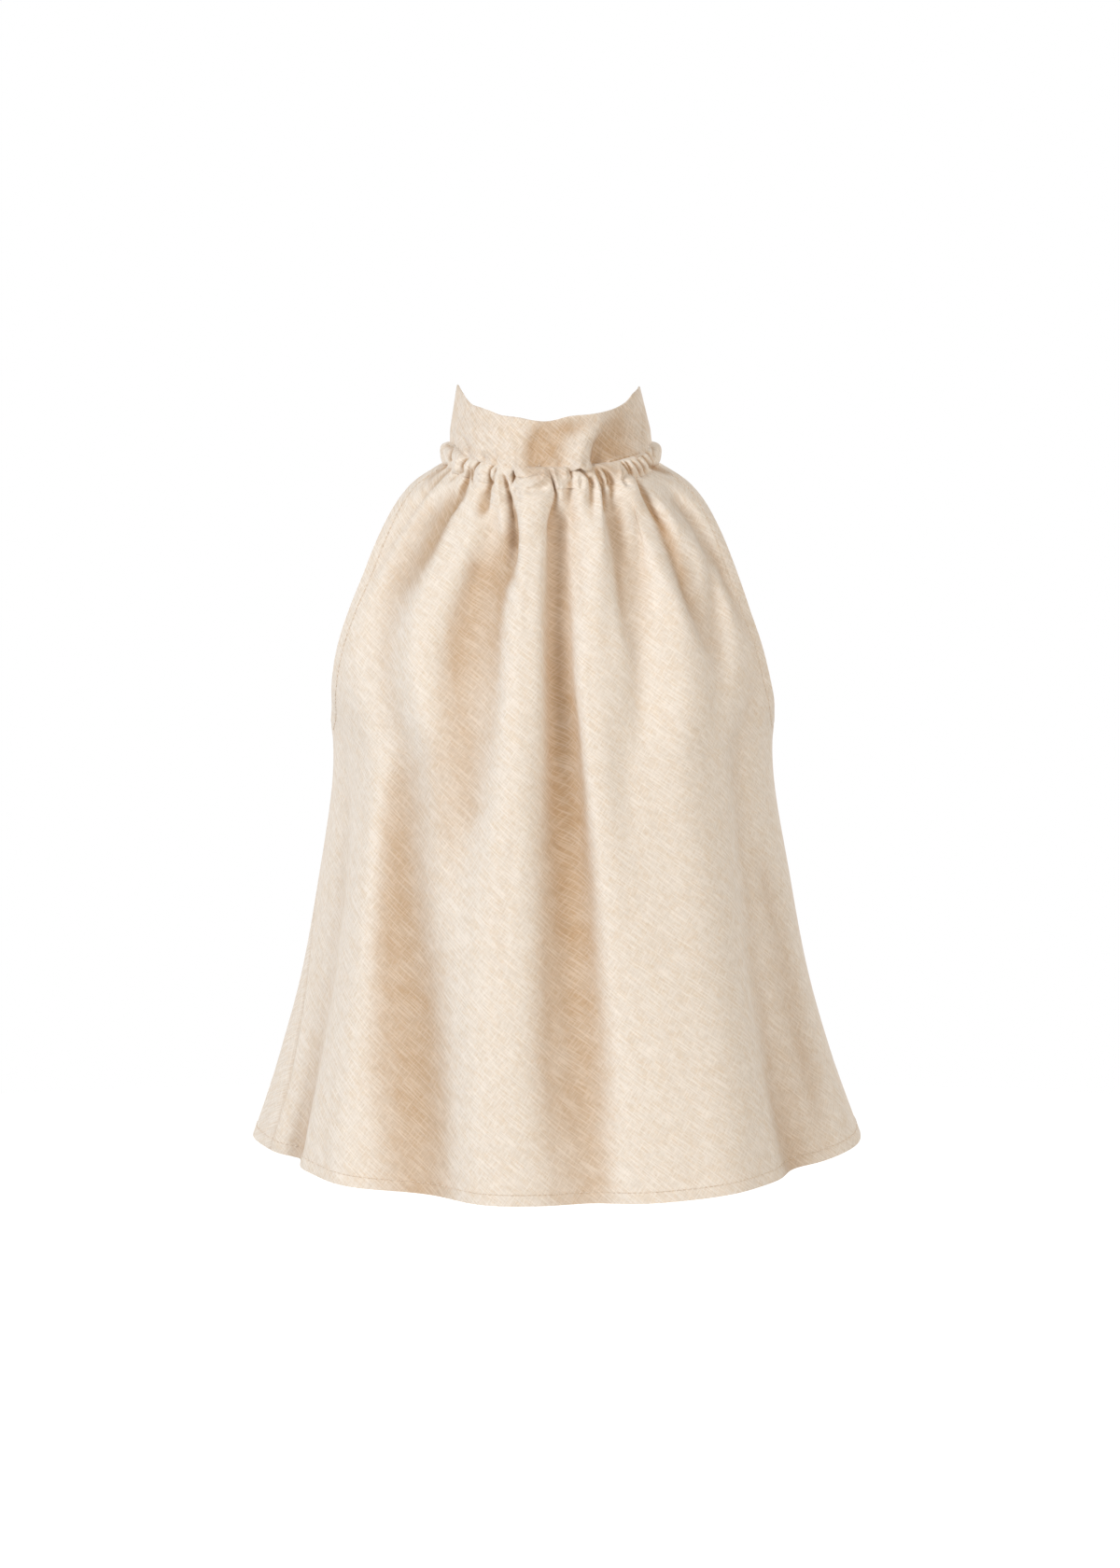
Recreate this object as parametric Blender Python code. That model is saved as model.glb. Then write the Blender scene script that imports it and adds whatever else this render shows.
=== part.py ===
"""A sleeveless halter top in linen: flared front and back, gathered into a neck casing, with a collar.

The top keeps the hollow form that it has when it is worn. Metres, +Z up, front towards -Y, the
picture's right towards +X. The origin is the middle of the ring of the neck casing.
An angle of 0 degrees is the centre front, +90 the right side and 180 the centre back.
"""
import math
from collections import namedtuple

import bpy
from mathutils import Vector

MM = 0.001

# ---- driving sizes -------------------------------------------------------------------------
CLOTH = 1.5 * MM          # wall of the front and back, with their turned hems
COLLAR_CLOTH = 2.0 * MM   # the collar is doubled
CASING_CLOTH = 2.4 * MM   # the casing is doubled and gathered
SEAM_GAP = 0.3 * MM       # clear distance between pieces that are sewn together
COLLAR_SEAM_GAP = 0.45 * MM  # a little more, because the collar's facets are longer than the casing's

CASING_HEIGHT = 14.0 * MM
CASING_WIDE = 71.0 * MM   # half-width of the neck ring, middle of the wall
CASING_FRONT = 63.0 * MM  # from the origin forward to the middle of the wall
CASING_BACK = 60.0 * MM
CASING_SIDE_Z = -3.0 * MM  # lower edge of the casing at the sides
CASING_FRONT_DIP = 17.5 * MM
CASING_BACK_DIP = 14.0 * MM
CASING_GATHERS = 40
CASING_GATHER_DEPTH = 1.6 * MM
GATHER_STEPS = 4          # columns in one gather
CASING_ROUND = 1.2 * MM   # how far the middle of the casing swells

COLLAR_SIDE_TOP = 48.6 * MM
COLLAR_FRONT_TOP = 23.7 * MM
COLLAR_BACK_TOP = 24.0 * MM
COLLAR_WAVE_START = 0.25  # share of its height over which the collar's waves leave the round foot
COLLAR_STEPS = 60
COLLAR_ROWS = 3

SIDE_ROUNDING = 0.15      # rounds the peak of a dipping ring at the sides
SHARP_EDGE = math.radians(50.0)
EDGE_BEND = 2.2           # how far the panels' columns keep clear of the bending edges
FRONT_COLUMNS = 50
BACK_COLUMNS = 36

# ---- the form on which the cloth lies ------------------------------------------------------
# fall: share of the way from the casing to the hem. Sizes in mm: half-width of the form, its
# depth forward and back, and the height of the ring at the side, front and back. lean is how far
# the ring's middle swings to the right of the neck.
Section = namedtuple("Section", "fall wide front back side_z front_z back_z lean")
SECTIONS = (
    Section(0.000,  74.0,  63.7,  60.7,   -3.3,  -20.8,  -17.3, 0.0),
    Section(0.030,  97.5,  69.0,  68.5,  -16.5,  -35.0,  -31.3, 0.1),
    Section(0.080, 120.5,  79.0,  77.0,  -39.6,  -58.0,  -54.0, 0.3),
    Section(0.160, 144.5,  96.0,  88.5,  -76.0,  -95.0,  -90.0, 0.5),
    Section(0.240, 158.0, 110.0,  96.0, -113.5, -132.0, -126.0, 0.7),
    Section(0.310, 159.0, 119.0, 100.0, -146.0, -164.5, -157.0, 0.9),
    Section(0.390, 151.0, 125.0, 102.5, -183.0, -202.0, -193.0, 1.3),
    Section(0.470, 151.0, 129.0, 104.5, -220.0, -239.0, -229.0, 1.9),
    Section(0.600, 160.0, 134.0, 108.0, -279.0, -300.0, -289.0, 2.9),
    Section(0.750, 172.5, 141.0, 117.0, -348.0, -370.0, -359.0, 3.5),
    Section(0.880, 188.5, 149.0, 126.5, -407.5, -430.0, -418.5, 4.3),
    Section(1.000, 207.5, 157.0, 136.0, -461.5, -485.5, -473.5, 4.9),
)

# ---- armhole edges -------------------------------------------------------------------------
# The panels end at these angles (degrees), front from the centre front, back from the centre
# back. Below the last row the two panels meet in the side seam.
Armhole = namedtuple("Armhole", "fall front back")
ARMHOLE = (
    Armhole(0.000, 86.0, 86.0),
    Armhole(0.030, 78.0, 78.0),
    Armhole(0.080, 69.0, 68.0),
    Armhole(0.160, 63.0, 60.0),
    Armhole(0.240, 64.0, 58.0),
    Armhole(0.310, 69.0, 62.0),
    Armhole(0.350, 75.5, 69.0),
    Armhole(0.376, 82.5, 78.0),
    Armhole(0.390, 90.0, 90.0),
)
UNDERARM_FALL = ARMHOLE[-1].fall
LEFT_SEAM_TURN = 21.0     # degrees that the left side seam swings forward by the hem
RIGHT_SEAM_TURN = -6.0    # the right side seam swings back a little

# ---- folds ---------------------------------------------------------------------------------
# Each fold runs down the cloth through four stations. turn: angle in degrees. wide: half-width
# in mm. deep: height of a ridge (+) or depth of a trough (-) in mm.
STATIONS = (0.03, 0.25, 0.60, 1.00)
Fold = namedtuple("Fold", "name turn wide deep")
FOLDS = (
    Fold("main trough",           (2, 1, 4, 6),          (7, 10, 15, 22),   (-7, -11, -10, -8)),
    Fold("centre ridge",          (-10, -8, -14, -13),   (8, 12, 22, 26),   (4, 6, 6, 5)),
    Fold("slit left of centre",   (-21, -20, -24, -24),  (5, 14, 18, 20),   (-6, -5, -2, 0)),
    Fold("left ridge",            (-40, -34, -34, -34),  (9, 15, 20, 20),   (4, 5, 1, 0)),
    Fold("left trough",           (-54, -46, -44, -44),  (8, 16, 20, 20),   (-6, -5, -1, 0)),
    Fold("lower left trough",     (-44, -40, -37, -26),  (12, 16, 22, 32),  (0, -1, -9, -10)),
    Fold("left lobe",             (-58, -54, -48, -42),  (12, 16, 20, 28),  (0, 1, 5, 8)),
    Fold("left side hollow",      (-80, -76, -66, -61),  (10, 12, 12, 12),  (0, 0, -5, -10)),
    Fold("left side lobe",        (-90, -88, -84, -79),  (14, 20, 22, 22),  (0, 0, 2, 5)),
    Fold("ridge right of centre", (16, 10, 15, 19),      (8, 13, 22, 28),   (5, 5, 4, 3)),
    Fold("right trough",          (34, 21, 22, 22),      (6, 12, 16, 18),   (-7, -5, -1, 0)),
    Fold("right ridge",           (45, 33, 31, 31),      (8, 15, 22, 30),   (5, 4, 4, 6)),
    Fold("thin right trough",     (61, 45, 44, 44),      (5, 9, 12, 12),    (-5, -4, 0, 0)),
    Fold("lower right trough",    (66, 62, 52, 53),      (10, 16, 22, 18),  (0, -3, -6, -9)),
    Fold("right side lobe",       (84, 82, 76, 74),      (14, 20, 22, 26),  (0, 0, 2, 5)),
    Fold("right back trough",     (112, 108, 104, 102),  (10, 14, 20, 24),  (-3, -3, -5, -8)),
    Fold("right back lobe",       (130, 128, 124, 124),  (10, 14, 20, 28),  (4, 4, 5, 7)),
    Fold("trough 1 of the back",  (146, 148, 146, 145),  (7, 11, 16, 22),   (-6, -7, -7, -8)),
    Fold("ridge of the back",     (164, 162, 164, 165),  (8, 13, 20, 28),   (5, 5, 5, 5)),
    Fold("trough 2 of the back",  (183, 181, 184, 186),  (7, 10, 15, 22),   (-7, -9, -8, -9)),
    Fold("ridge left of it",      (200, 200, 204, 206),  (8, 13, 20, 26),   (4, 5, 5, 6)),
    Fold("trough 3 of the back",  (218, 219, 224, 227),  (7, 12, 18, 24),   (-6, -6, -7, -9)),
    Fold("left back lobe",        (236, 238, 244, 247),  (10, 14, 20, 26),  (4, 4, 5, 7)),
    Fold("left back trough",      (254, 258, 264, 267),  (10, 14, 16, 18),  (-3, -3, -4, -7)),
)
FOLD_START = 0.06         # share of the fall over which the folds grow out of the gathers

# Broad waves of the collar: angle, half-width in mm, height in mm at its foot and at its top.
CollarWave = namedtuple("CollarWave", "name turn wide foot top")
COLLAR_WAVES = (
    CollarWave("left hollow",    -17, 11, -3.2, -0.6),
    CollarWave("centre swell",    19, 10,  2.4,  0.8),
    CollarWave("right pinch",     44,  9, -4.4, -0.8),
    CollarWave("right swell",     68, 11,  1.6,  0.6),
    CollarWave("left swell",     -42, 12,  1.8,  0.6),
    CollarWave("back hollow",    150, 14, -2.6, -0.8),
    CollarWave("back swell",     186, 13,  2.0,  0.6),
    CollarWave("back pinch",     222, 11, -3.0, -0.8),
)
COLLAR_FOOT_WIDE = 70.0 * MM
COLLAR_TOP_WIDE = 62.4 * MM
COLLAR_FOOT_FRONT = 62.3 * MM
COLLAR_TOP_FRONT = 57.5 * MM
COLLAR_FOOT_BACK = 59.3 * MM
COLLAR_TOP_BACK = 55.0 * MM


# ---- small helpers -------------------------------------------------------------------------
def curve_through(stations, values, at):
    """Value at one place on the smooth curve through the values at the stations."""
    if at <= stations[0]:
        return values[0]
    if at >= stations[-1]:
        return values[-1]
    last = len(stations) - 1
    i = max(k for k in range(last) if stations[k] <= at)
    span = stations[i + 1] - stations[i]
    t = (at - stations[i]) / span
    slope_a = slope_at(stations, values, i) * span
    slope_b = slope_at(stations, values, i + 1) * span
    rise = values[i + 1] - values[i]
    return (values[i] + slope_a * t
            + (3.0 * rise - 2.0 * slope_a - slope_b) * t * t
            + (slope_a + slope_b - 2.0 * rise) * t * t * t)


def slope_at(stations, values, i):
    """Slope of the smooth curve at one of its stations."""
    before = max(i - 1, 0)
    after = min(i + 1, len(stations) - 1)
    return (values[after] - values[before]) / (stations[after] - stations[before])


def smooth_step(at):
    """0 below 0, 1 above 1, and a soft rise between them."""
    t = min(max(at, 0.0), 1.0)
    return t * t * (3.0 - 2.0 * t)


def towards_middle(angle):
    """0 at the sides and 1 at the centre front or back, rounded over the sides."""
    c = math.cos(math.radians(angle))
    top = math.sqrt(1.0 + SIDE_ROUNDING ** 2) - SIDE_ROUNDING
    return (math.sqrt(c * c + SIDE_ROUNDING ** 2) - SIDE_ROUNDING) / top


def is_front(angle):
    """True for the front half of a ring."""
    return math.cos(math.radians(angle)) >= 0.0


def turned_difference(angle, other):
    """Difference of two angles in degrees, from -180 to 180."""
    return (angle - other + 180.0) % 360.0 - 180.0


def ring_point(angle, wide, front, back, side_z, front_z, back_z):
    """A point of an oval ring whose front and back may dip below its sides."""
    a = math.radians(angle)
    depth = front if is_front(angle) else back
    end_z = front_z if is_front(angle) else back_z
    z = side_z + (end_z - side_z) * towards_middle(angle)
    return Vector((wide * math.sin(a), -depth * math.cos(a), z))


# ---- the surface of the front and back -----------------------------------------------------
def section_at(fall):
    """The sizes of the form, in metres, at a share of the fall."""
    stations = [row.fall for row in SECTIONS]
    sizes = {}
    for column in Section._fields[1:]:
        values = [getattr(row, column) for row in SECTIONS]
        sizes[column] = curve_through(stations, values, fall) * MM
    return sizes


def fold_height(angle, fall, sizes):
    """Sum of all folds at a place of the cloth, in metres."""
    a = math.radians(angle)
    depth = sizes["front"] if is_front(angle) else sizes["back"]
    per_radian = math.hypot(sizes["wide"] * math.cos(a), depth * math.sin(a))
    height = 0.0
    for fold in FOLDS:
        turn = curve_through(STATIONS, fold.turn, fall)
        across = math.radians(turned_difference(angle, turn)) * per_radian
        wide = curve_through(STATIONS, fold.wide, fall) * MM
        deep = curve_through(STATIONS, fold.deep, fall) * MM
        height += deep * math.exp(-(across / wide) ** 2)
    return height * smooth_step(fall / FOLD_START)


def cloth_point(angle, fall):
    """A point on the outside of the front or back."""
    sizes = section_at(fall)
    lean = sizes.pop("lean")
    point = ring_point(angle, **sizes)
    a = math.radians(angle)
    depth = sizes["front"] if is_front(angle) else sizes["back"]
    outward = Vector((math.sin(a) * depth, -math.cos(a) * sizes["wide"], 0.0)).normalized()
    point += outward * fold_height(angle, fall, sizes)
    point.x += lean
    return point


def cloth_inside(angle, fall, outside):
    """The point of the inner face that lies under a point of the outer face."""
    small_turn = 0.5
    small_fall = 0.004
    before = max(fall - small_fall, 0.0)
    after = min(fall + small_fall, 1.0)
    along_ring = cloth_point(angle + small_turn, fall) - cloth_point(angle - small_turn, fall)
    down = cloth_point(angle, after) - cloth_point(angle, before)
    outward = down.cross(along_ring).normalized()
    return outside - outward * CLOTH


def seam_angle(side, fall):
    """Angle of the side seam, side +1 for right and -1 for left."""
    turn = RIGHT_SEAM_TURN if side > 0 else LEFT_SEAM_TURN
    share = smooth_step((fall - UNDERARM_FALL) / (1.0 - UNDERARM_FALL))
    return side * (90.0 - turn * share)


def seam_gap_angle(angle, fall):
    """Half of the seam gap, as an angle in degrees."""
    step = 0.5
    length = (cloth_point(angle + step, fall) - cloth_point(angle - step, fall)).length
    return 0.5 * SEAM_GAP / length * 2.0 * step


def panel_edge(part, side, fall):
    """Angle at which the front or back panel ends on one side."""
    if fall < UNDERARM_FALL:
        stations = [row.fall for row in ARMHOLE]
        edge = curve_through(stations, [getattr(row, part) for row in ARMHOLE], fall)
        angle = side * (edge if part == "front" else 180.0 - edge)
    else:
        angle = seam_angle(side, fall)
    half_gap = seam_gap_angle(angle, fall)
    return angle - side * half_gap if part == "front" else angle + side * half_gap


def column_angle(part, left, right, across):
    """Angle of one column, across -1 to 1. Columns stay upright in the middle of a panel and
    bend with its edges only near them."""
    side = 1 if across >= 0.0 else -1
    edge = right if side > 0 else left
    middle = 0.0 if part == "front" else 180.0 * side
    quarter = 90.0 * side if part == "front" else -90.0 * side
    share = abs(across)
    return middle + quarter * share + (edge - middle - quarter) * share ** EDGE_BEND


def panel_falls():
    """Rows of a panel: closer together at the neck and round the underarm."""
    neck = [0.0, 0.015, 0.04, 0.07, 0.11]
    armhole = [0.16, 0.21, 0.26, 0.31, 0.345, 0.37, 0.383, UNDERARM_FALL]
    skirt_rows = 8
    skirt = [UNDERARM_FALL + (1.0 - UNDERARM_FALL) * k / skirt_rows for k in range(1, skirt_rows + 1)]
    return neck + armhole + skirt


# ---- meshes --------------------------------------------------------------------------------
def cloth_material(name, colour, roughness):
    """Plain linen colour for one piece."""
    material = bpy.data.materials.new(name)
    material.use_nodes = True
    shader = material.node_tree.nodes["Principled BSDF"]
    shader.inputs["Base Color"].default_value = (*colour, 1.0)
    shader.inputs["Roughness"].default_value = roughness
    shader.inputs["Metallic"].default_value = 0.0
    return material


def add_object(name, points, faces, material):
    """One object from points and faces, shaded smooth but for its edges."""
    mesh = bpy.data.meshes.new(name)
    mesh.from_pydata([tuple(p) for p in points], [], faces)
    mesh.materials.append(material)
    mesh.shade_smooth()
    mesh.set_sharp_from_angle(angle=SHARP_EDGE)
    mesh.validate()
    thing = bpy.data.objects.new(name, mesh)
    bpy.context.collection.objects.link(thing)
    return thing


def quad(a, b, c, d):
    """Two triangles of a four-cornered patch, so that the wall is the same on every machine."""
    return [(a, b, c), (a, c, d)]


def panel(name, part, columns, material):
    """Front or back: a wall between its outer and inner face, closed along its four edges."""
    falls = panel_falls()
    outside = []
    inside = []
    for fall in falls:
        left = panel_edge(part, -1, fall)
        right = panel_edge(part, 1, fall)
        for k in range(columns + 1):
            angle = column_angle(part, left, right, 2.0 * k / columns - 1.0)
            point = cloth_point(angle, fall)
            outside.append(point)
            inside.append(cloth_inside(angle, fall, point))
    faces = wall_faces(len(falls), columns + 1, len(outside), flip=(part == "back"))
    return add_object(name, outside + inside, faces, material)


def wall_faces(rows, across, shift, flip):
    """Triangles of an open wall whose inner face has the same grid, shift points later."""
    faces = []
    for r in range(rows - 1):
        for c in range(across - 1):
            a = r * across + c
            b = a + 1
            d = a + across
            e = d + 1
            faces += quad(a, d, e, b)
            faces += quad(a + shift, b + shift, e + shift, d + shift)
    for c in range(across - 1):
        low = (rows - 1) * across + c
        faces += quad(c, c + 1, c + 1 + shift, c + shift)
        faces += quad(low, low + shift, low + 1 + shift, low + 1)
    for r in range(rows - 1):
        left = r * across
        right = left + across - 1
        faces += quad(left, left + shift, left + across + shift, left + across)
        faces += quad(right, right + across, right + across + shift, right + shift)
    if flip:
        faces = [tuple(reversed(face)) for face in faces]
    return faces


def turned_ring(name, rings, material):
    """A closed ring: rings holds one closed loop of section points for each step round it."""
    steps = len(rings)
    corners = len(rings[0])
    points = [p for ring in rings for p in ring]
    faces = []
    for s in range(steps):
        nxt = (s + 1) % steps
        for c in range(corners):
            c2 = (c + 1) % corners
            faces += quad(s * corners + c, nxt * corners + c, nxt * corners + c2, s * corners + c2)
    return add_object(name, points, faces, material)


# ---- casing and collar ---------------------------------------------------------------------
def casing_edge_z(angle, height):
    """Height of a line along the casing, height above its lower edge."""
    dip = CASING_FRONT_DIP if is_front(angle) else CASING_BACK_DIP
    return CASING_SIDE_Z - dip * towards_middle(angle) + height


def neck_casing(material):
    """Gathered tunnel: a wall whose outer face swells and has a wave for each gather."""
    steps = CASING_GATHERS * GATHER_STEPS
    rings = []
    for s in range(steps):
        angle = 360.0 * s / steps
        a = math.radians(angle)
        depth = CASING_FRONT if is_front(angle) else CASING_BACK
        gather = CASING_GATHER_DEPTH * math.cos(math.radians(360.0 * s / GATHER_STEPS))
        section = (
            (-0.5 * CASING_CLOTH, 0.0),
            (0.5 * CASING_CLOTH, 0.0),
            (0.5 * CASING_CLOTH + CASING_ROUND + gather, 0.5 * CASING_HEIGHT),
            (0.5 * CASING_CLOTH, CASING_HEIGHT),
            (-0.5 * CASING_CLOTH, CASING_HEIGHT),
        )
        ring = []
        for out, height in section:
            x = (CASING_WIDE + out) * math.sin(a)
            y = -(depth + out) * math.cos(a)
            ring.append(Vector((x, y, casing_edge_z(angle, height))))
        rings.append(ring)
    return turned_ring("neck_casing", rings, material)


def collar_wave_height(angle, rise):
    """Sum of the collar's waves, rise 0 at its foot and 1 at its top edge."""
    mean_radius = 0.5 * (COLLAR_FOOT_WIDE + COLLAR_FOOT_FRONT)
    height = 0.0
    for wave in COLLAR_WAVES:
        across = math.radians(turned_difference(angle, wave.turn)) * mean_radius
        deep = wave.foot + (wave.top - wave.foot) * rise
        height += deep * MM * math.exp(-(across / (wave.wide * MM)) ** 2)
    return height * smooth_step(rise / COLLAR_WAVE_START)


def collar_ring_point(angle, rise, out):
    """A point of the collar, out from its outer face."""
    a = math.radians(angle)
    wide = COLLAR_FOOT_WIDE + (COLLAR_TOP_WIDE - COLLAR_FOOT_WIDE) * rise
    foot, top = (COLLAR_FOOT_FRONT, COLLAR_TOP_FRONT)
    top_z = COLLAR_FRONT_TOP
    if not is_front(angle):
        foot, top = (COLLAR_FOOT_BACK, COLLAR_TOP_BACK)
        top_z = COLLAR_BACK_TOP
    depth = foot + (top - foot) * rise
    push = out + collar_wave_height(angle, rise)
    low = casing_edge_z(angle, CASING_HEIGHT) + COLLAR_SEAM_GAP
    high = COLLAR_SIDE_TOP + (top_z - COLLAR_SIDE_TOP) * towards_middle(angle)
    x = (wide + push) * math.sin(a)
    y = -(depth + push) * math.cos(a)
    return Vector((x, y, low + (high - low) * rise))


def collar(material):
    """The standing collar: a doubled band with broad waves, open at the top."""
    rings = []
    rises = [k / COLLAR_ROWS for k in range(COLLAR_ROWS + 1)]
    for s in range(COLLAR_STEPS):
        angle = 360.0 * s / COLLAR_STEPS
        outer = [collar_ring_point(angle, rise, 0.0) for rise in rises]
        inner = [collar_ring_point(angle, rise, -COLLAR_CLOTH) for rise in reversed(rises)]
        rings.append(outer + inner)
    return turned_ring("collar", rings, material)


def clear_scene():
    """Starts from an empty scene."""
    for thing in list(bpy.data.objects):
        bpy.data.objects.remove(thing, do_unlink=True)


def build():
    """Makes the four pieces."""
    clear_scene()
    linen = (0.76, 0.63, 0.50)
    panel("front_panel", "front", FRONT_COLUMNS, cloth_material("front_linen", linen, 0.85))
    panel("back_panel", "back", BACK_COLUMNS, cloth_material("back_linen", linen, 0.85))
    neck_casing(cloth_material("casing_linen", (0.74, 0.61, 0.48), 0.85))
    collar(cloth_material("collar_linen", (0.72, 0.59, 0.46), 0.85))


build()
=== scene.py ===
"""Looks of a sleeveless halter top in natural linen: front, back, gathered neck casing and collar.

Metres, +Z up, front towards -Y, the picture's right towards +X. An angle of 0 degrees is the centre
front, +90 the right side and 180 the centre back. Places on the picture are in its own pixels,
1200 across and 1680 down.
"""
import math
from collections import namedtuple

import bpy
import numpy as np
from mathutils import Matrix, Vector


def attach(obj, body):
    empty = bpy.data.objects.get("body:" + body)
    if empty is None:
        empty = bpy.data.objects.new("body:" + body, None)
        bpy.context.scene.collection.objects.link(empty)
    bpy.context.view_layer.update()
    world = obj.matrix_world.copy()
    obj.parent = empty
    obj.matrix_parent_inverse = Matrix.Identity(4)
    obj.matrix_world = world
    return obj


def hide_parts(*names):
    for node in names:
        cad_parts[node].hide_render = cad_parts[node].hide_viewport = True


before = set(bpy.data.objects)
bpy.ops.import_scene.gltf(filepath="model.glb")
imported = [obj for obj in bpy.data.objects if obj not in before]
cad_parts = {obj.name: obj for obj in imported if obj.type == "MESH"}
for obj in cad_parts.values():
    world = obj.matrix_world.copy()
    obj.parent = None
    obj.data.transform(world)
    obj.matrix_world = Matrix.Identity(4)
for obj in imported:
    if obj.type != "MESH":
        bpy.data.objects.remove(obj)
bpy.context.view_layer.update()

MM = 0.001

# ---- camera and picture --------------------------------------------------------------------
PICTURE_WIDE = 1200
PICTURE_TALL = 1680
CAMERA_PLACE = (0.0063, -2.4, 0.0)
CAMERA_AIM = (0.0063, 0.0, -0.2239)
FOCAL_LENGTH = 80.4       # mm, on a sensor 36 mm long
SENSOR = 36.0
CAMERA_FAR = 50.0
FLOOR_Z = -1.15
FLOOR_RADIUS = 4.0
FLOOR_GLOW = 0.85         # keeps the floor as pale as the background

# ---- cloth ---------------------------------------------------------------------------------
CLOTH = 0.8 * MM          # linen wall
HEM_EXTRA = 0.5 * MM      # a turned hem is this much thicker
HEM_WIDE = 8.5 * MM
HEM_RAISE = 0.35 * MM     # how far a turned hem stands proud, and its line of stitches is pressed in
HEM_SOFT = 1.2 * MM       # over what width its inner edge fades out
HEM_INSIDE_SOFT = 2.0 * MM
PRESSED_WIDE = 0.8 * MM
SEAM_WIDE = 1.1 * MM      # the side seams are narrow grooves
SEAM_DEEP = 0.6 * MM
STITCH_FROM_EDGE = 7.4 * MM
STITCH_PITCH = 3.6 * MM
STITCH_LENGTH = 2.7 * MM
STITCH_RADIUS = 0.27 * MM
STITCH_BEND = 0.28        # share of its length from its middle where a stitch bends down
STITCH_SINK = 0.30 * MM   # how far its ends lie in the cloth
STITCH_END_WIDE = 0.75
STITCH_PROUD = 0.7        # share of its radius by which it lies over the cloth
COLLAR_CLOTH = 1.6 * MM
UNDERARM_FALL = 0.39      # share of the fall where the armholes end and the side seams start
LEFT_SEAM_TURN = 21.0     # degrees that the left side seam swings forward by the hem
RIGHT_SEAM_TURN = -6.0
SIDE_ROUNDING = 0.15      # how softly the neckline's dip starts at the sides
EDGE_BEND = 2.2           # how late the columns of a panel bend with its edges

# fall: share of the way from the casing to the hem. Sizes in mm.
Section = namedtuple("Section", "fall wide front back side_z front_z back_z lean")
SECTIONS = (
    Section(0.000,  74.0,  63.7,  60.7,   -3.3,  -20.8,  -17.3, 0.0),
    Section(0.030,  97.5,  69.0,  68.5,  -16.5,  -35.0,  -31.3, 0.1),
    Section(0.080, 120.5,  79.0,  77.0,  -39.6,  -58.0,  -54.0, 0.3),
    Section(0.160, 144.5,  96.0,  88.5,  -76.0,  -95.0,  -90.0, 0.5),
    Section(0.240, 158.0, 110.0,  96.0, -113.5, -132.0, -126.0, 0.7),
    Section(0.310, 159.0, 119.0, 100.0, -146.0, -164.5, -157.0, 0.9),
    Section(0.390, 151.0, 125.0, 102.5, -183.0, -202.0, -193.0, 1.3),
    Section(0.470, 151.0, 129.0, 104.5, -220.0, -239.0, -229.0, 1.9),
    Section(0.600, 160.0, 134.0, 108.0, -279.0, -300.0, -289.0, 2.9),
    Section(0.750, 172.5, 141.0, 117.0, -348.0, -370.0, -359.0, 3.5),
    Section(0.880, 188.5, 149.0, 126.5, -407.5, -430.0, -418.5, 4.3),
    Section(1.000, 207.5, 157.0, 136.0, -461.5, -485.5, -473.5, 4.9),
)

# The panels end at these angles (degrees), front from the centre front, back from the centre back.
Armhole = namedtuple("Armhole", "fall front back")
ARMHOLE = (
    Armhole(0.000, 86.0, 86.0),
    Armhole(0.030, 78.0, 78.0),
    Armhole(0.080, 69.0, 68.0),
    Armhole(0.160, 63.0, 60.0),
    Armhole(0.240, 64.0, 58.0),
    Armhole(0.310, 69.0, 62.0),
    Armhole(0.350, 75.5, 69.0),
    Armhole(0.372, 80.5, 76.0),
    Armhole(0.384, 85.2, 82.8),
    Armhole(0.390, 90.0, 90.0),
)

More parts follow.
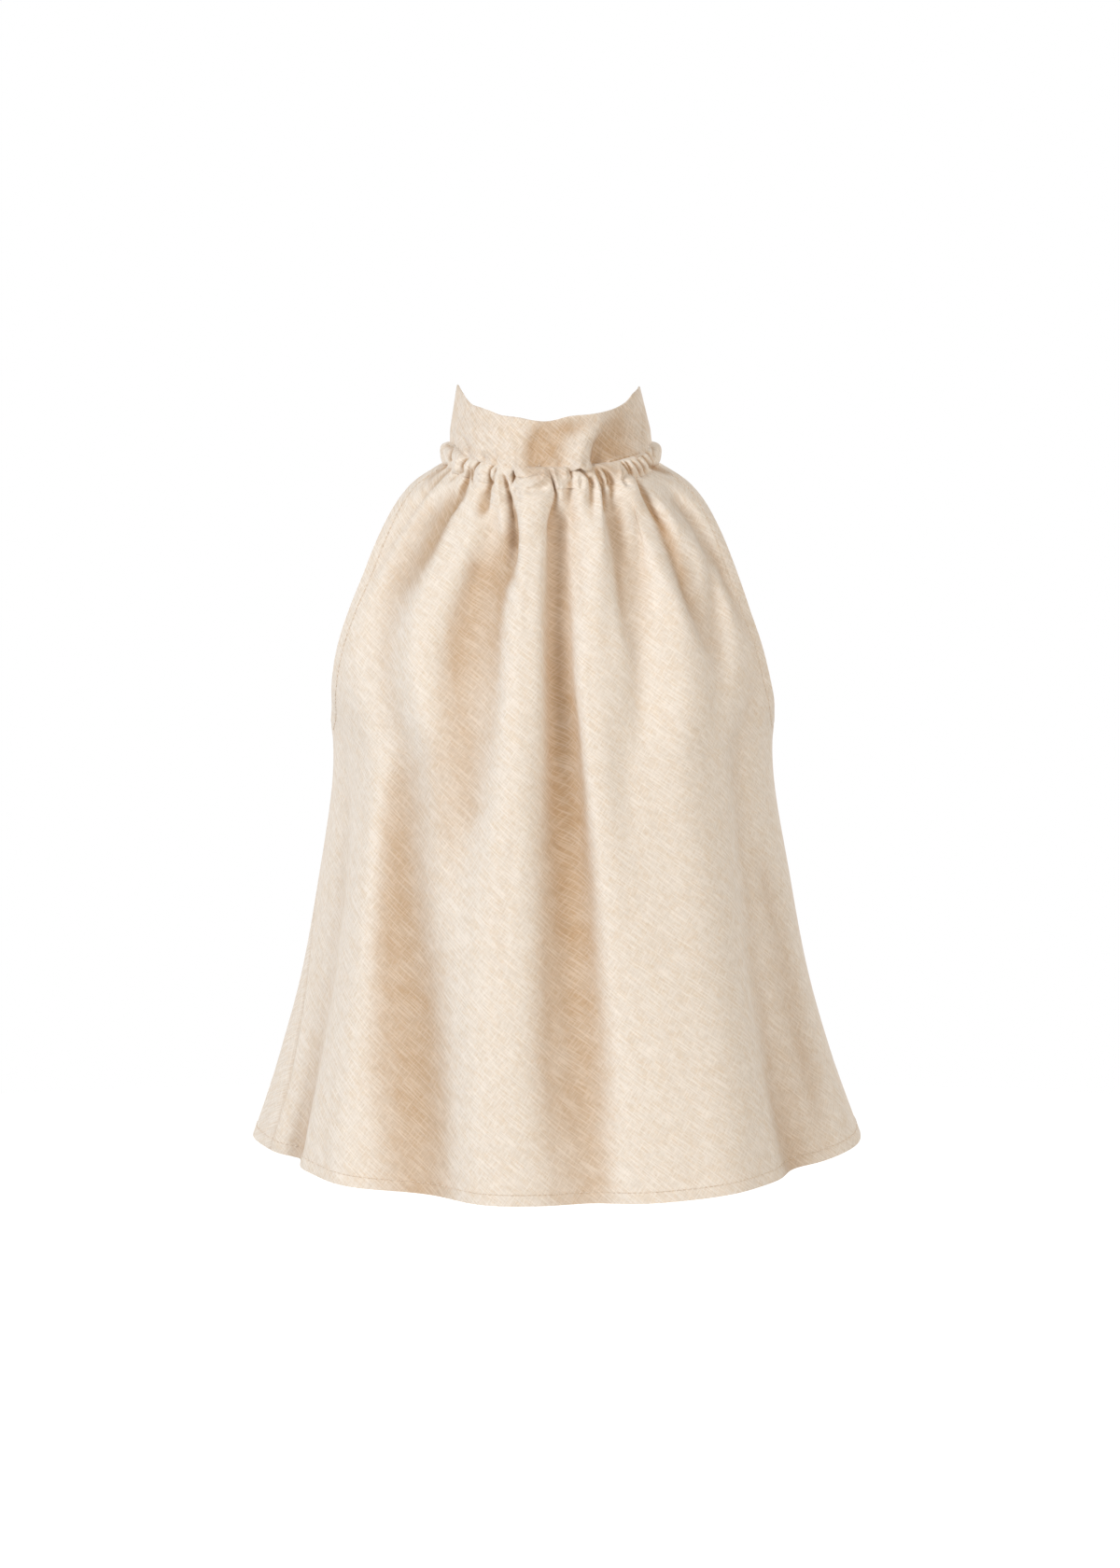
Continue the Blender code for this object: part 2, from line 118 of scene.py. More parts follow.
# Big folds. turn: angle in degrees, wide: half-width in mm, deep: height of a ridge (+) or depth
# of a trough (-) in mm, each at four places down the cloth.
STATIONS = (0.03, 0.25, 0.60, 1.00)
Fold = namedtuple("Fold", "name turn wide deep")
FOLDS = (
    Fold("main trough",           (2, 1, 4, 6),          (7, 10, 15, 22),   (-7, -11, -10, -8)),
    Fold("centre ridge",          (-10, -8, -14, -13),   (8, 12, 22, 26),   (4, 6, 6, 5)),
    Fold("slit left of centre",   (-21, -20, -24, -24),  (5, 14, 18, 20),   (-6, -5, -2, 0)),
    Fold("left ridge",            (-40, -34, -34, -34),  (9, 15, 20, 20),   (4, 5, 1, 0)),
    Fold("left trough",           (-54, -46, -44, -44),  (8, 16, 20, 20),   (-6, -5, -1, 0)),
    Fold("lower left trough",     (-44, -40, -37, -26),  (12, 16, 22, 32),  (0, -1, -9, -10)),
    Fold("left lobe",             (-58, -54, -48, -42),  (12, 16, 20, 28),  (0, 1, 5, 8)),
    Fold("left side hollow",      (-80, -76, -66, -61),  (10, 12, 12, 12),  (0, 0, -5, -10)),
    Fold("left side lobe",        (-90, -88, -84, -79),  (14, 20, 22, 22),  (0, 0, 2, 5)),
    Fold("ridge right of centre", (16, 10, 15, 19),      (8, 13, 22, 28),   (5, 5, 4, 3)),
    Fold("right trough",          (34, 21, 22, 22),      (6, 12, 16, 18),   (-7, -5, -1, 0)),
    Fold("right ridge",           (45, 33, 31, 31),      (8, 15, 22, 30),   (5, 4, 4, 6)),
    Fold("thin right trough",     (61, 45, 44, 44),      (5, 9, 12, 12),    (-5, -4, 0, 0)),
    Fold("lower right trough",    (66, 62, 52, 53),      (10, 16, 22, 18),  (0, -3, -6, -9)),
    Fold("right side lobe",       (84, 82, 76, 74),      (14, 20, 22, 26),  (0, 0, 2, 5)),
    Fold("right back trough",     (112, 108, 104, 102),  (10, 14, 20, 24),  (-3, -3, -5, -8)),
    Fold("right back lobe",       (130, 128, 124, 124),  (10, 14, 20, 28),  (4, 4, 5, 7)),
    Fold("trough 1 of the back",  (146, 148, 146, 145),  (7, 11, 16, 22),   (-6, -7, -7, -8)),
    Fold("ridge of the back",     (164, 162, 164, 165),  (8, 13, 20, 28),   (5, 5, 5, 5)),
    Fold("trough 2 of the back",  (183, 181, 184, 186),  (7, 10, 15, 22),   (-7, -9, -8, -9)),
    Fold("ridge left of it",      (200, 200, 204, 206),  (8, 13, 20, 26),   (4, 5, 5, 6)),
    Fold("trough 3 of the back",  (218, 219, 224, 227),  (7, 12, 18, 24),   (-6, -6, -7, -9)),
    Fold("left back lobe",        (236, 238, 244, 247),  (10, 14, 20, 26),  (4, 4, 5, 7)),
    Fold("left back trough",      (254, 258, 264, 267),  (10, 14, 16, 18),  (-3, -3, -4, -7)),
)
FOLD_START = 0.06         # share of the fall over which the folds grow out of the gathers
SEAM_BLEND = 0.03         # share over which the creases turn from level to the cloth's own way

# ---- creases -------------------------------------------------------------------------------
# Each crease follows points (x, y, half-width, depth). On the front x, y and half-width are in pixels
# of the picture. depth is in mm, a ridge above 0 and a trough below. lean moves the steep side: 0 is
# even, +0.6 is steep on the right. form is 2 for a soft round bottom, less for a sharp one, more for a
# flat one.
Crease = namedtuple("Crease", "name form lean path")
NECK_CREASES = (
    Crease("curl in the left bump", 1.5, 0.0, ((474, 474, 1.6, 0), (478, 477, 1.8, -1.6),
        (483, 480, 1.8, -2), (481, 487, 1.8, -2), (482, 492, 1.8, -1.8), (486, 496, 1.8, 0))),
    Crease("small fold above it", 1.5, 0.0, ((484, 476, 1.4, 0), (490, 478, 1.6, -1.6),
        (495, 482, 1.6, -1.8), (498, 487, 1.6, -1.2), (499, 491, 1.6, 0))),
    Crease("left shoulder line", 1.6, 0.2, ((484, 495, 1.6, 0), (476, 500, 2, -1.8), (464, 508, 3, -1.2),
        (450, 522, 4, 0))),
    Crease("second shoulder line", 1.6, 0.2, ((488, 499, 1.6, 0), (482, 504, 2.4, -1.2),
        (473, 511, 3.2, -1.4), (458, 526, 5, -1), (440, 545, 6, 0))),
    Crease("tuck beside the left slit", 1.6, 0.2, ((505, 488, 1.6, 0), (498, 493, 2.2, -2),
        (495, 498, 2.4, -2.4), (496, 505, 2.4, -1.8), (488, 511, 3, -1.2), (474, 522, 4, 0))),
    Crease("left slit", 1.6, -0.2, ((503, 495, 1.2, 0), (503, 502, 1.6, -1.4), (502, 510, 1.9, -2.6),
        (499, 518, 3, -3.6), (493, 527, 4.6, -4), (486, 538, 5.2, -2.6), (477, 551, 5.6, -0.6),
        (470, 562, 6, 0))),
    Crease("line right of the left slit", 1.5, 0.0, ((506, 498, 1.3, 0), (506, 505, 1.4, -1.8),
        (506, 512, 1.5, -1.8), (508, 519, 1.6, -1), (508, 525, 2, 0))),
    Crease("curl left of the hook", 1.5, 0.0, ((516, 493, 1.3, 0), (512, 496, 1.6, -2.6),
        (509, 501, 1.5, -1.8), (508, 508, 1.4, -1), (508, 514, 1.4, 0))),
    Crease("lobe left of the hook", 2.2, 0.0, ((514, 495, 2.4, 0), (517, 502, 4, 2.2),
        (518, 511, 4.6, 2.2), (517, 520, 5, 0.8), (517, 530, 5, 0))),
    Crease("head left of the left slit", 2.2, 0.0, ((495, 486, 2, 0), (492, 494, 3, 1.8),
        (490, 504, 3.4, 1.6), (485, 514, 3.4, 0))),
    Crease("head right of the hook", 2.2, 0.0, ((536, 494, 1.6, 0), (535, 500, 2, 1.4),
        (534, 507, 2, 0))),
    Crease("speck in the lobe", 2.0, 0.0, ((517, 506, 1.6, 0), (518, 509, 1.8, -0.9),
        (517, 512, 1.6, 0))),
    Crease("hollow under the lobe", 2.0, 0.0, ((517, 518, 4, 0), (517, 528, 6, -0.9),
        (516, 545, 7.5, -1.3), (512, 570, 9, 0))),
    Crease("hook", 1.4, 0.2, ((533, 494, 1.3, 0), (529, 498, 1.5, -1.6), (525, 503, 1.7, -2),
        (525, 510, 2, -2.4), (527, 517, 2.6, -3.8), (525, 526, 3.6, -3.4), (523, 538, 4.6, -2.2),
        (521, 554, 6, 0))),
    Crease("tuck right of the hook", 1.5, 0.0, ((534, 496, 1.3, 0), (531, 506, 1.5, -1.8),
        (530, 516, 1.8, -2.2), (530, 524, 2, 0))),
    Crease("ridge left of the deep valley", 2.2, 0.5, ((535, 502, 3.5, 0), (536, 512, 5, 2),
        (536, 530, 6, 2.6), (538, 548, 6.5, 2), (539, 580, 8, 1), (534, 610, 11, 0))),
    Crease("top of the deep valley", 1.6, 0.0, ((536, 505, 1.3, 0), (541, 511, 1.9, -2),
        (544, 520, 2.4, -3.2), (546, 530, 3.2, -3.4), (546, 544, 3.8, -1.4), (547, 560, 4, 0))),
    Crease("sliver above the deep valley", 1.8, 0.0, ((546, 503, 1.6, 0), (547, 511, 1.8, 1.8),
        (548, 520, 1.8, 1.8), (549, 527, 1.8, 0))),
    Crease("slit beside the tab", 1.4, 0.0, ((553, 494, 1.3, 0), (553, 501, 2, -2.4),
        (552, 508, 2.2, -3.4), (550, 515, 2, -2.8), (549, 523, 2, 0))),
    Crease("bulb", 3.0, 0.0, ((568, 508, 12, 0), (569, 512, 17, 3.4), (571, 520, 20, 6),
        (571, 530, 21, 6.6), (571, 540, 19.5, 5.6), (571, 552, 17, 4.4), (571, 575, 16, 3.4),
        (570, 610, 15, 2.2), (568, 660, 15, 0))),
    Crease("right lobe of the bulb", 2.2, 0.0, ((578, 495, 3, 0), (582, 502, 5, 4), (585, 510, 5.6, 3),
        (588, 520, 6, 0))),
    Crease("head right of the slivers", 2.2, 0.0, ((604, 495, 2.4, 0), (605, 501, 3.2, 2.6),
        (606, 509, 3.4, 1.8), (607, 518, 3.4, 0))),
    Crease("left dimple in the bulb", 2.0, 0.0, ((553, 520, 2.6, 0), (555, 526, 3.6, -3.2),
        (557, 533, 3.6, -2.6), (560, 540, 3.4, 0))),
    Crease("right dimple in the bulb", 2.0, 0.3, ((562, 526, 3, 0), (571, 525, 4.4, -2),
        (580, 521, 5, -3.8), (585, 515, 4.4, -2.4), (588, 508, 3, 0))),
    Crease("right edge of the bulb", 1.5, -0.2, ((585, 499, 1.2, 0), (589, 508, 1.6, -2.8),
        (593, 518, 1.9, -3.6), (595, 529, 2.4, -4), (593, 541, 3.4, -3.6), (591, 556, 4.4, -2.2),
        (591, 590, 5.4, 0))),
    Crease("sliver right of the bulb", 1.8, 0.0, ((590, 494, 1.8, 0), (593, 502, 2.4, 2.4),
        (595, 511, 2.2, 2.2), (597, 520, 2, 2), (598, 528, 2, 0))),
    Crease("narrow ridge right of it", 2.0, 0.2, ((597, 503, 3, 0), (600, 514, 3.4, 1.4),
        (603, 528, 3.6, 1.8), (606, 545, 4, 0))),
    Crease("short slit", 1.5, 0.0, ((611, 500, 1.4, 0), (611, 505, 1.8, -2.8), (612, 510, 1.8, -1.6),
        (611, 515, 2, 0))),
    Crease("soft trough under it", 2.0, 0.0, ((611, 508, 3, 0), (611, 518, 4.4, -1.7),
        (610, 533, 6, -1.1), (609, 552, 7, 0))),
    Crease("ridge under the collar's bulge", 2.0, 0.0, ((616, 506, 3, 0), (619, 515, 5, 1.8),
        (620, 532, 6, 1.8), (621, 560, 7, 0.8), (622, 580, 7, 0))),
    Crease("curl under the collar's bulge", 1.4, -0.2, ((614, 504, 1.3, 0), (621, 503, 1.5, -2.4),
        (627, 508, 1.6, -2.6), (631, 514, 2, -2), (633, 521, 2.4, 0))),
    Crease("trough under the curl", 1.8, 0.0, ((632, 508, 2.4, 0), (633, 518, 4.2, -2.6),
        (634, 532, 6.2, -2.2), (637, 550, 7.4, -1.6), (640, 570, 8, 0))),
    Crease("short slit in the curl", 1.5, 0.0, ((621, 509, 1.5, 0), (621, 515, 2, -2), (621, 521, 2, -1),
        (621, 528, 2, 0))),
    Crease("short ridge in the curl", 2.0, 0.0, ((626, 509, 2.4, 0), (627, 517, 3.4, 1.8),
        (626, 530, 4, 1.2), (626, 548, 5, 0))),
    Crease("ridge left of the right trough", 2.0, 0.5, ((636, 510, 2.4, 0), (640, 524, 4, 2.2),
        (643, 540, 5, 2.4), (645, 570, 7, 1.6), (648, 610, 8, 0))),
    Crease("edge of the right trough", 1.5, -0.2, ((635, 498, 1.2, 0), (640, 510, 1.6, -2.6),
        (645, 522, 1.9, -3.2), (648, 538, 2.6, -2.2), (650, 552, 3.4, 0))),
    Crease("middle rib 1", 1.5, 0.0, ((637, 497, 1.2, 0), (641, 506, 1.3, -2), (645, 515, 1.4, -2.2),
        (648, 523, 1.6, 0))),
    Crease("middle rib 2", 1.5, 0.0, ((643, 499, 1.2, 0), (648, 506, 1.4, -2.4), (651, 515, 1.6, -2.8),
        (651, 524, 1.8, 0))),
    Crease("middle rib 3", 1.5, 0.0, ((647, 500, 1.2, 0), (652, 508, 1.6, -2.4), (655, 516, 2.6, -3.4),
        (656, 525, 3.4, -3.6), (657, 538, 4, -1.8), (659, 552, 4.4, 0))),
    Crease("spur of the right head", 1.8, 0.0, ((664, 500, 1.6, 0), (663, 507, 1.8, 1.6),
        (661, 517, 2.2, 2), (664, 524, 2.4, 0))),
    Crease("hook of the right head", 1.5, 0.0, ((666, 509, 1.4, 0), (664, 514, 1.8, -2.4),
        (667, 519, 2, -2.2), (673, 520, 2, 0))),
    Crease("right head", 2.6, 0.3, ((668, 508, 6, 0), (671, 515, 9.5, 4), (674, 526, 12, 4.6),
        (681, 546, 12, 3.8), (691, 575, 14, 2.8), (706, 612, 16, 1.2), (722, 650, 16, 0))),
    Crease("valley right of the head", 2.0, 0.0, ((676, 508, 1.6, 0), (683, 518, 2.8, -2.6),
        (691, 530, 3.8, -3.2), (699, 544, 4.6, -2.6), (707, 558, 5.4, -1.6), (715, 574, 6, 0))),
    Crease("right rib 1", 1.5, 0.0, ((664, 492, 1.2, 0), (669, 498, 1.3, -2.2), (673, 505, 1.4, -2.2),
        (674, 513, 1.4, 0))),
    Crease("right rib 2", 1.5, 0.0, ((668, 491, 1.2, 0), (673, 497, 1.3, -2.2), (676, 505, 1.4, -2.4),
        (677, 514, 1.6, 0))),
    Crease("right rib 3", 1.5, 0.0, ((674, 490, 1.2, 0), (681, 498, 1.4, -2), (685, 506, 1.5, -2.2),
        (686, 514, 1.8, 0))),
    Crease("right rib 4", 1.5, 0.0, ((680, 488, 1.2, 0), (686, 494, 1.4, -2.2), (690, 502, 1.5, -2.4),
        (692, 512, 1.8, 0))),
    Crease("right rib 5", 1.5, 0.0, ((684, 485, 1.2, 0), (691, 490, 1.4, -2.2), (696, 498, 1.6, -2.2),
        (698, 506, 2, 0))),
    Crease("right rib 6", 1.5, 0.0, ((688, 482, 1.2, 0), (696, 486, 1.4, -1.8), (700, 494, 1.5, -1.6),
        (701, 501, 1.6, 0))),
    Crease("tuck under the right bump", 1.8, 0.0, ((694, 498, 2, 0), (701, 501, 3, -2.4),
        (710, 504, 3.6, -1.6), (722, 512, 4, 0))),
    Crease("hollow in the right bump", 1.6, 0.0, ((697, 476, 1.4, 0), (701, 481, 1.6, -1.6),
        (701, 488, 1.6, -1.2), (703, 493, 1.6, 0))),
)
BODY_CREASES = (
    Crease("floor of the main valley", 2.8, 0.1, ((597, 532, 6, 0), (597, 565, 11, -4),
        (599, 640, 12.5, -3.9), (602, 720, 14, -4.8), (607, 800, 17, -6.4), (611, 880, 21, -6.4),
        (616, 960, 26, -5.6), (621, 1050, 31, -4.7), (627, 1150, 35, -4.1), (631, 1290, 34, -2.2))),
    Crease("step left of the main valley", 2.4, 0.2, ((584, 790, 8, 0), (581, 860, 12, -1.5),
        (581, 940, 15, -2), (583, 1000, 16, -2.3), (586, 1130, 20, -2.8), (592, 1290, 22, -1.6))),
    Crease("crest left of the main valley", 2.2, 0.3, ((582, 560, 4, 0), (577, 610, 6, 1.6),
        (576, 690, 7, 2.6), (576, 745, 8, 2.4), (576, 790, 8, 0.8), (578, 830, 8, 0))),
    Crease("crest right of the main valley", 2.0, 0.5, ((624, 620, 7, 0), (626, 700, 8, 1.2),
        (630, 800, 9, 0.8), (636, 880, 12, 0))),
    Crease("deep valley", 2.4, 0.1, ((545, 523, 2.6, 0), (547, 535, 3.8, -4.4), (549, 550, 5.2, -7),
        (549.5, 570, 6, -7.6), (549, 590, 7, -5.4), (546, 612, 8.5, -2.4), (543, 632, 9, 0))),
    Crease("hollow left of the middle", 2.2, 0.3, ((554, 556, 5, 0), (545, 578, 11, -4),
        (533, 610, 15, -5.4), (528, 660, 16, -4.8), (525, 705, 17, -4.2), (524, 745, 17, -3.2),
        (518, 800, 17, -2.2), (510, 860, 17, -1.2), (502, 910, 16, 0))),
    Crease("broad hollow on the left", 2.2, 0.1, ((518, 580, 8, 0), (508, 612, 13, -3.4),
        (497, 655, 18, -4.8), (489, 700, 21, -4.6), (487, 745, 23, -3.8), (490, 800, 25, -3.2),
        (493, 860, 25, -2.8), (488, 930, 23, -1.4), (480, 1000, 20, 0))),
    Crease("faint hollow below it", 2.2, 0.0, ((458, 760, 18, 0), (456, 820, 24, -1.8),
        (462, 885, 24, -1.6), (468, 950, 20, 0))),
    Crease("trough right of the middle", 2.0, -0.4, ((645, 520, 3, 0), (650, 536, 6, -3.4),
        (656, 560, 10, -4.4), (663, 592, 13, -4.8), (667, 628, 13, -4.6), (671, 668, 10, -2.6),
        (676, 714, 8, 0))),
    Crease("fullness beside it", 2.0, 0.2, ((658, 650, 8, 0), (667, 700, 12, 2.4), (670, 760, 15, 2.4),
        (676, 830, 15, 0))),
    Crease("thin trough on the right", 2.0, -0.35, ((691, 530, 4, 0), (703, 553, 8, -5),
        (718, 584, 11, -6.2), (732, 620, 12.5, -5.2), (744, 650, 13, -4.2), (758, 685, 13, -2.8),
        (773, 724, 13, 0))),
    Crease("crest between them", 2.0, 0.3, ((676, 530, 8, 0), (690, 575, 10, 2.4), (706, 615, 12, 2.4),
        (724, 655, 13, 1.2), (740, 695, 14, 0))),
    Crease("light ridge on the right", 2.0, 0.0, ((698, 526, 3, 0), (713, 544, 5, 0.9),
        (727, 564, 6, 1.7), (754, 601, 7, 1.8), (776, 642, 8, 0.8), (790, 680, 8, 0))),
    Crease("trough towards the armhole", 2.0, 0.0, ((708, 520, 3, 0), (724, 537, 6, -2.2),
        (750, 567, 8, -1.4), (774, 606, 9, -1.8), (790, 646, 9, 0))),
    Crease("right shoulder trough", 2.0, 0.0, ((748, 560, 5, 0), (770, 600, 7, -2), (795, 655, 9, -2.4),
        (812, 705, 10, 0))),
    Crease("left shoulder trough", 2.0, 0.0, ((492, 514, 4, 0), (480, 534, 9, -5), (470, 555, 12, -7),
        (457, 582, 14, -6), (438, 614, 16, -4.2), (424, 650, 15, -2), (415, 690, 12, 0))),
    Crease("left outer trough", 2.0, 0.2, ((462, 520, 4, 0), (442, 545, 7, -2.4), (420, 578, 8, -2.2),
        (400, 612, 9, -1.8), (386, 652, 10, 0))),
    Crease("left crest", 2.0, 0.2, ((517, 530, 6, 0), (503, 575, 10, 2), (484, 622, 12, 2.2),
        (462, 680, 15, 1.6), (444, 760, 20, 0))),
    Crease("lower left trough", 2.6, 0.0, ((428, 792, 10, 0), (424, 850, 17, -4.2), (423, 925, 23, -5.2),
        (424, 1000, 30, -5.4), (431, 1130, 44, -4.8), (442, 1290, 46, -3.2))),
    Crease("crest left of it", 2.0, 0.0, ((393, 850, 12, 0), (384, 930, 12, 1.4), (375, 1030, 13, 1.6),
        (364, 1140, 14, 1.6), (358, 1280, 15, 1))),
    Crease("edge of the left lobe", 2.0, -0.4, ((371, 950, 6, 0), (361, 1030, 8, 1.6),
        (350, 1120, 9, 2.4), (338, 1200, 10, 2.6), (326, 1260, 10, 2))),
    Crease("hollow left of the lobe", 2.0, 0.3, ((352, 960, 6, 0), (342, 1040, 8, -1.2),
        (332, 1130, 8, -1.6), (321, 1230, 8, -1.6))),
    Crease("crest of the left hem", 2.0, 0.0, ((322, 1040, 8, 0), (308, 1120, 12, 2),
        (298, 1220, 14, 2.4))),
    Crease("lower right trough", 2.2, 0.0, ((778, 740, 12, 0), (788, 830, 17, -2.4), (804, 930, 20, -2.6),
        (820, 1040, 22, -2.4), (842, 1140, 25, -2.4), (856, 1260, 18, -2.6))),
    Crease("lower right crest", 2.0, 0.1, ((742, 690, 20, 0), (754, 780, 28, 5), (760, 860, 32, 7.4),
        (770, 1000, 36, 7.6), (783, 1130, 38, 7.2), (790, 1280, 38, 4.2))),
    Crease("outer right trough", 2.0, 0.0, ((812, 880, 8, 0), (830, 960, 11, -2.2), (852, 1060, 14, -2.6),
        (874, 1160, 15, -2.6), (888, 1250, 12, -1.8))),
    Crease("soft side of the main valley", 2.0, 0.0, ((607, 512, 5, 0), (608, 530, 8, -3),
        (611, 550, 9, -3.2), (616, 572, 9, -2.4), (617, 620, 9, -2.2), (617, 680, 9, -0.8),
        (620, 730, 9, 0))),
    Crease("soft side of the right trough", 2.0, 0.0, ((658, 520, 4, 0), (663, 538, 6, -2.2),
        (665, 552, 7, -2.6), (669, 575, 8, -1.6), (676, 600, 9, -0.8), (684, 630, 9, 0))),
    Crease("soft sides of the deep valley", 2.0, 0.0, ((540, 550, 8, 0), (536, 585, 13, -1.6),
        (539, 620, 13, -1.4), (536, 660, 12, 0))),
    Crease("faint drag line", 2.0, 0.4, ((560, 860, 7, 0), (548, 930, 9, -1), (538, 1010, 11, -1.2),
        (532, 1100, 12, 0))),
    Crease("crest right of the middle", 2.0, 0.0, ((672, 760, 14, 0), (681, 810, 18, 2),
        (688, 880, 20, 2.6), (700, 1000, 24, 2.8), (716, 1130, 28, 2.6), (724, 1280, 28, 1.4))),
)

# Creases of the back: x and y in mm as it is seen from behind, from the middle of the neck ring.
BACK_NECK_CREASES = (
    Crease("slit by the left shoulder", 1.6, 0.0, ((-50, -6, 0.9, 0), (-52, 4, 1.3, -2.6),
        (-57, 16, 1.9, -2.6), (-65, 30, 3, 0))),
    Crease("left slit", 1.6, 0.0, ((-40, -2, 0.9, 0), (-42, 8, 1.4, -3), (-45, 20, 2, -3.6),
        (-50, 36, 3.6, -1.8), (-55, 52, 4.6, 0))),
    Crease("curl right of it", 1.5, 0.0, ((-36, -2, 0.9, 0), (-35, 5, 1.2, -2.2), (-36, 13, 1.3, -1.6),
        (-39, 22, 1.6, 0))),
    Crease("left head", 2.4, 0.0, ((-29, 2, 2, 0), (-30, 9, 4, 2.2), (-32, 20, 5, 2.6), (-35, 40, 6, 0))),
    Crease("hook in the left", 1.5, 0.2, ((-22, 1, 0.9, 0), (-25, 7, 1.1, -2.2), (-24, 15, 1.4, -2.8),
        (-26, 26, 2, -1.4), (-28, 38, 3, 0))),
    Crease("narrow tuck", 1.6, 0.0, ((-16, 1, 0.8, 0), (-17, 8, 1.1, -2.4), (-18, 17, 1.3, -2),
        (-18, 27, 1.8, 0))),
    Crease("head left of the middle", 2.4, 0.0, ((-9, 3, 2.4, 0), (-9, 11, 4.2, 2.6), (-10, 24, 5, 2.8),
        (-11, 46, 6, 0))),
    Crease("middle slit", 1.6, -0.1, ((1, 1, 0.9, 0), (2, 8, 1.4, -3.2), (3, 19, 2, -4.2),
        (4, 34, 3.6, -2.6), (4, 54, 5, 0))),
    Crease("curl right of the middle", 1.5, 0.0, ((6, 2, 0.8, 0), (9, 8, 1.1, -2), (8, 16, 1.2, -1.6),
        (9, 24, 1.6, 0))),
    Crease("short tuck", 1.6, 0.0, ((15, 1, 0.8, 0), (16, 8, 1.2, -2.6), (18, 18, 1.5, -2.2),
        (20, 30, 2.2, 0))),
    Crease("head right of the middle", 2.4, 0.0, ((22, 2, 2.2, 0), (23, 10, 3.8, 2.2), (25, 22, 5, 2.4),
        (29, 44, 6, 0))),
    Crease("tuck beside it", 1.5, 0.0, ((29, 0, 0.8, 0), (31, 7, 1.2, -2.4), (33, 17, 1.5, -2.6),
        (37, 30, 2.4, 0))),
    Crease("narrow pair", 1.5, 0.0, ((35, -1, 0.8, 0), (38, 6, 1, -1.8), (40, 14, 1.2, -1.4),
        (43, 22, 1.6, 0))),
    Crease("right slit", 1.6, 0.0, ((43, -3, 0.9, 0), (46, 7, 1.4, -3), (50, 20, 2, -3.4),
        (56, 36, 3.6, -1.8), (62, 50, 4.6, 0))),
    Crease("slit by the right shoulder", 1.6, 0.0, ((52, -7, 0.9, 0), (55, 2, 1.3, -2.4),
        (61, 13, 1.9, -2.2), (69, 25, 3, 0))),
)
BACK_BODY_CREASES = (
    Crease("floor of the middle trough", 2.6, -0.1, ((4, 40, 3, 0), (4, 75, 6, -3), (3, 130, 8, -4),
        (6, 215, 9, -3.6), (12, 300, 12, -2.6), (20, 470, 17, -1.4))),
    Crease("deep start of the left trough", 2.2, 0.1, ((-50, 38, 2.5, 0), (-57, 58, 4.5, -3.2),
        (-68, 90, 6.5, -3.6), (-80, 130, 8, -1.8), (-88, 170, 9, 0))),
    Crease("broad hollow of the back", 2.2, -0.3, ((-24, 55, 5, 0), (-30, 90, 11, -2.6),
        (-40, 130, 17, -3.2), (-50, 185, 20, -2), (-56, 240, 20, 0))),
    Crease("trough right of the middle", 2.0, 0.3, ((24, 40, 3, 0), (29, 62, 6, -2.4), (37, 95, 8, -3),
        (46, 140, 10, -1.8), (52, 185, 10, 0))),
    Crease("deep start of the right trough", 2.2, -0.1, ((58, 40, 3, 0), (68, 62, 5, -3),
        (82, 95, 7, -3.2), (94, 135, 8, -1.6), (101, 175, 9, 0))),
    Crease("shoulder line of the left", 2.0, 0.0, ((-72, 38, 3, 0), (-86, 62, 5, -2.2),
        (-99, 92, 6, -1.6), (-108, 125, 6, 0))),
    Crease("lower left trough", 2.2, 0.0, ((-92, 210, 7, 0), (-94, 260, 10, -2.8), (-100, 340, 13, -3.6),
        (-118, 470, 17, -2.6))),
    Crease("crest of the left", 2.0, 0.0, ((-60, 230, 9, 0), (-62, 290, 12, 1.6), (-70, 380, 15, 1.8),
        (-80, 470, 17, 1))),
    Crease("lower right trough", 2.2, 0.0, ((104, 200, 7, 0), (110, 260, 10, -2.6), (124, 350, 12, -3.4),
        (150, 470, 15, -2.4))),
    Crease("crest right of the middle", 2.0, 0.0, ((50, 220, 9, 0), (54, 280, 12, 1.6),
        (62, 370, 15, 1.6), (74, 470, 18, 1))),
    Crease("drag line", 2.0, 0.3, ((-20, 230, 5, 0), (-26, 290, 7, -1.2), (-30, 350, 8, -1),
        (-32, 410, 8, 0))),
)
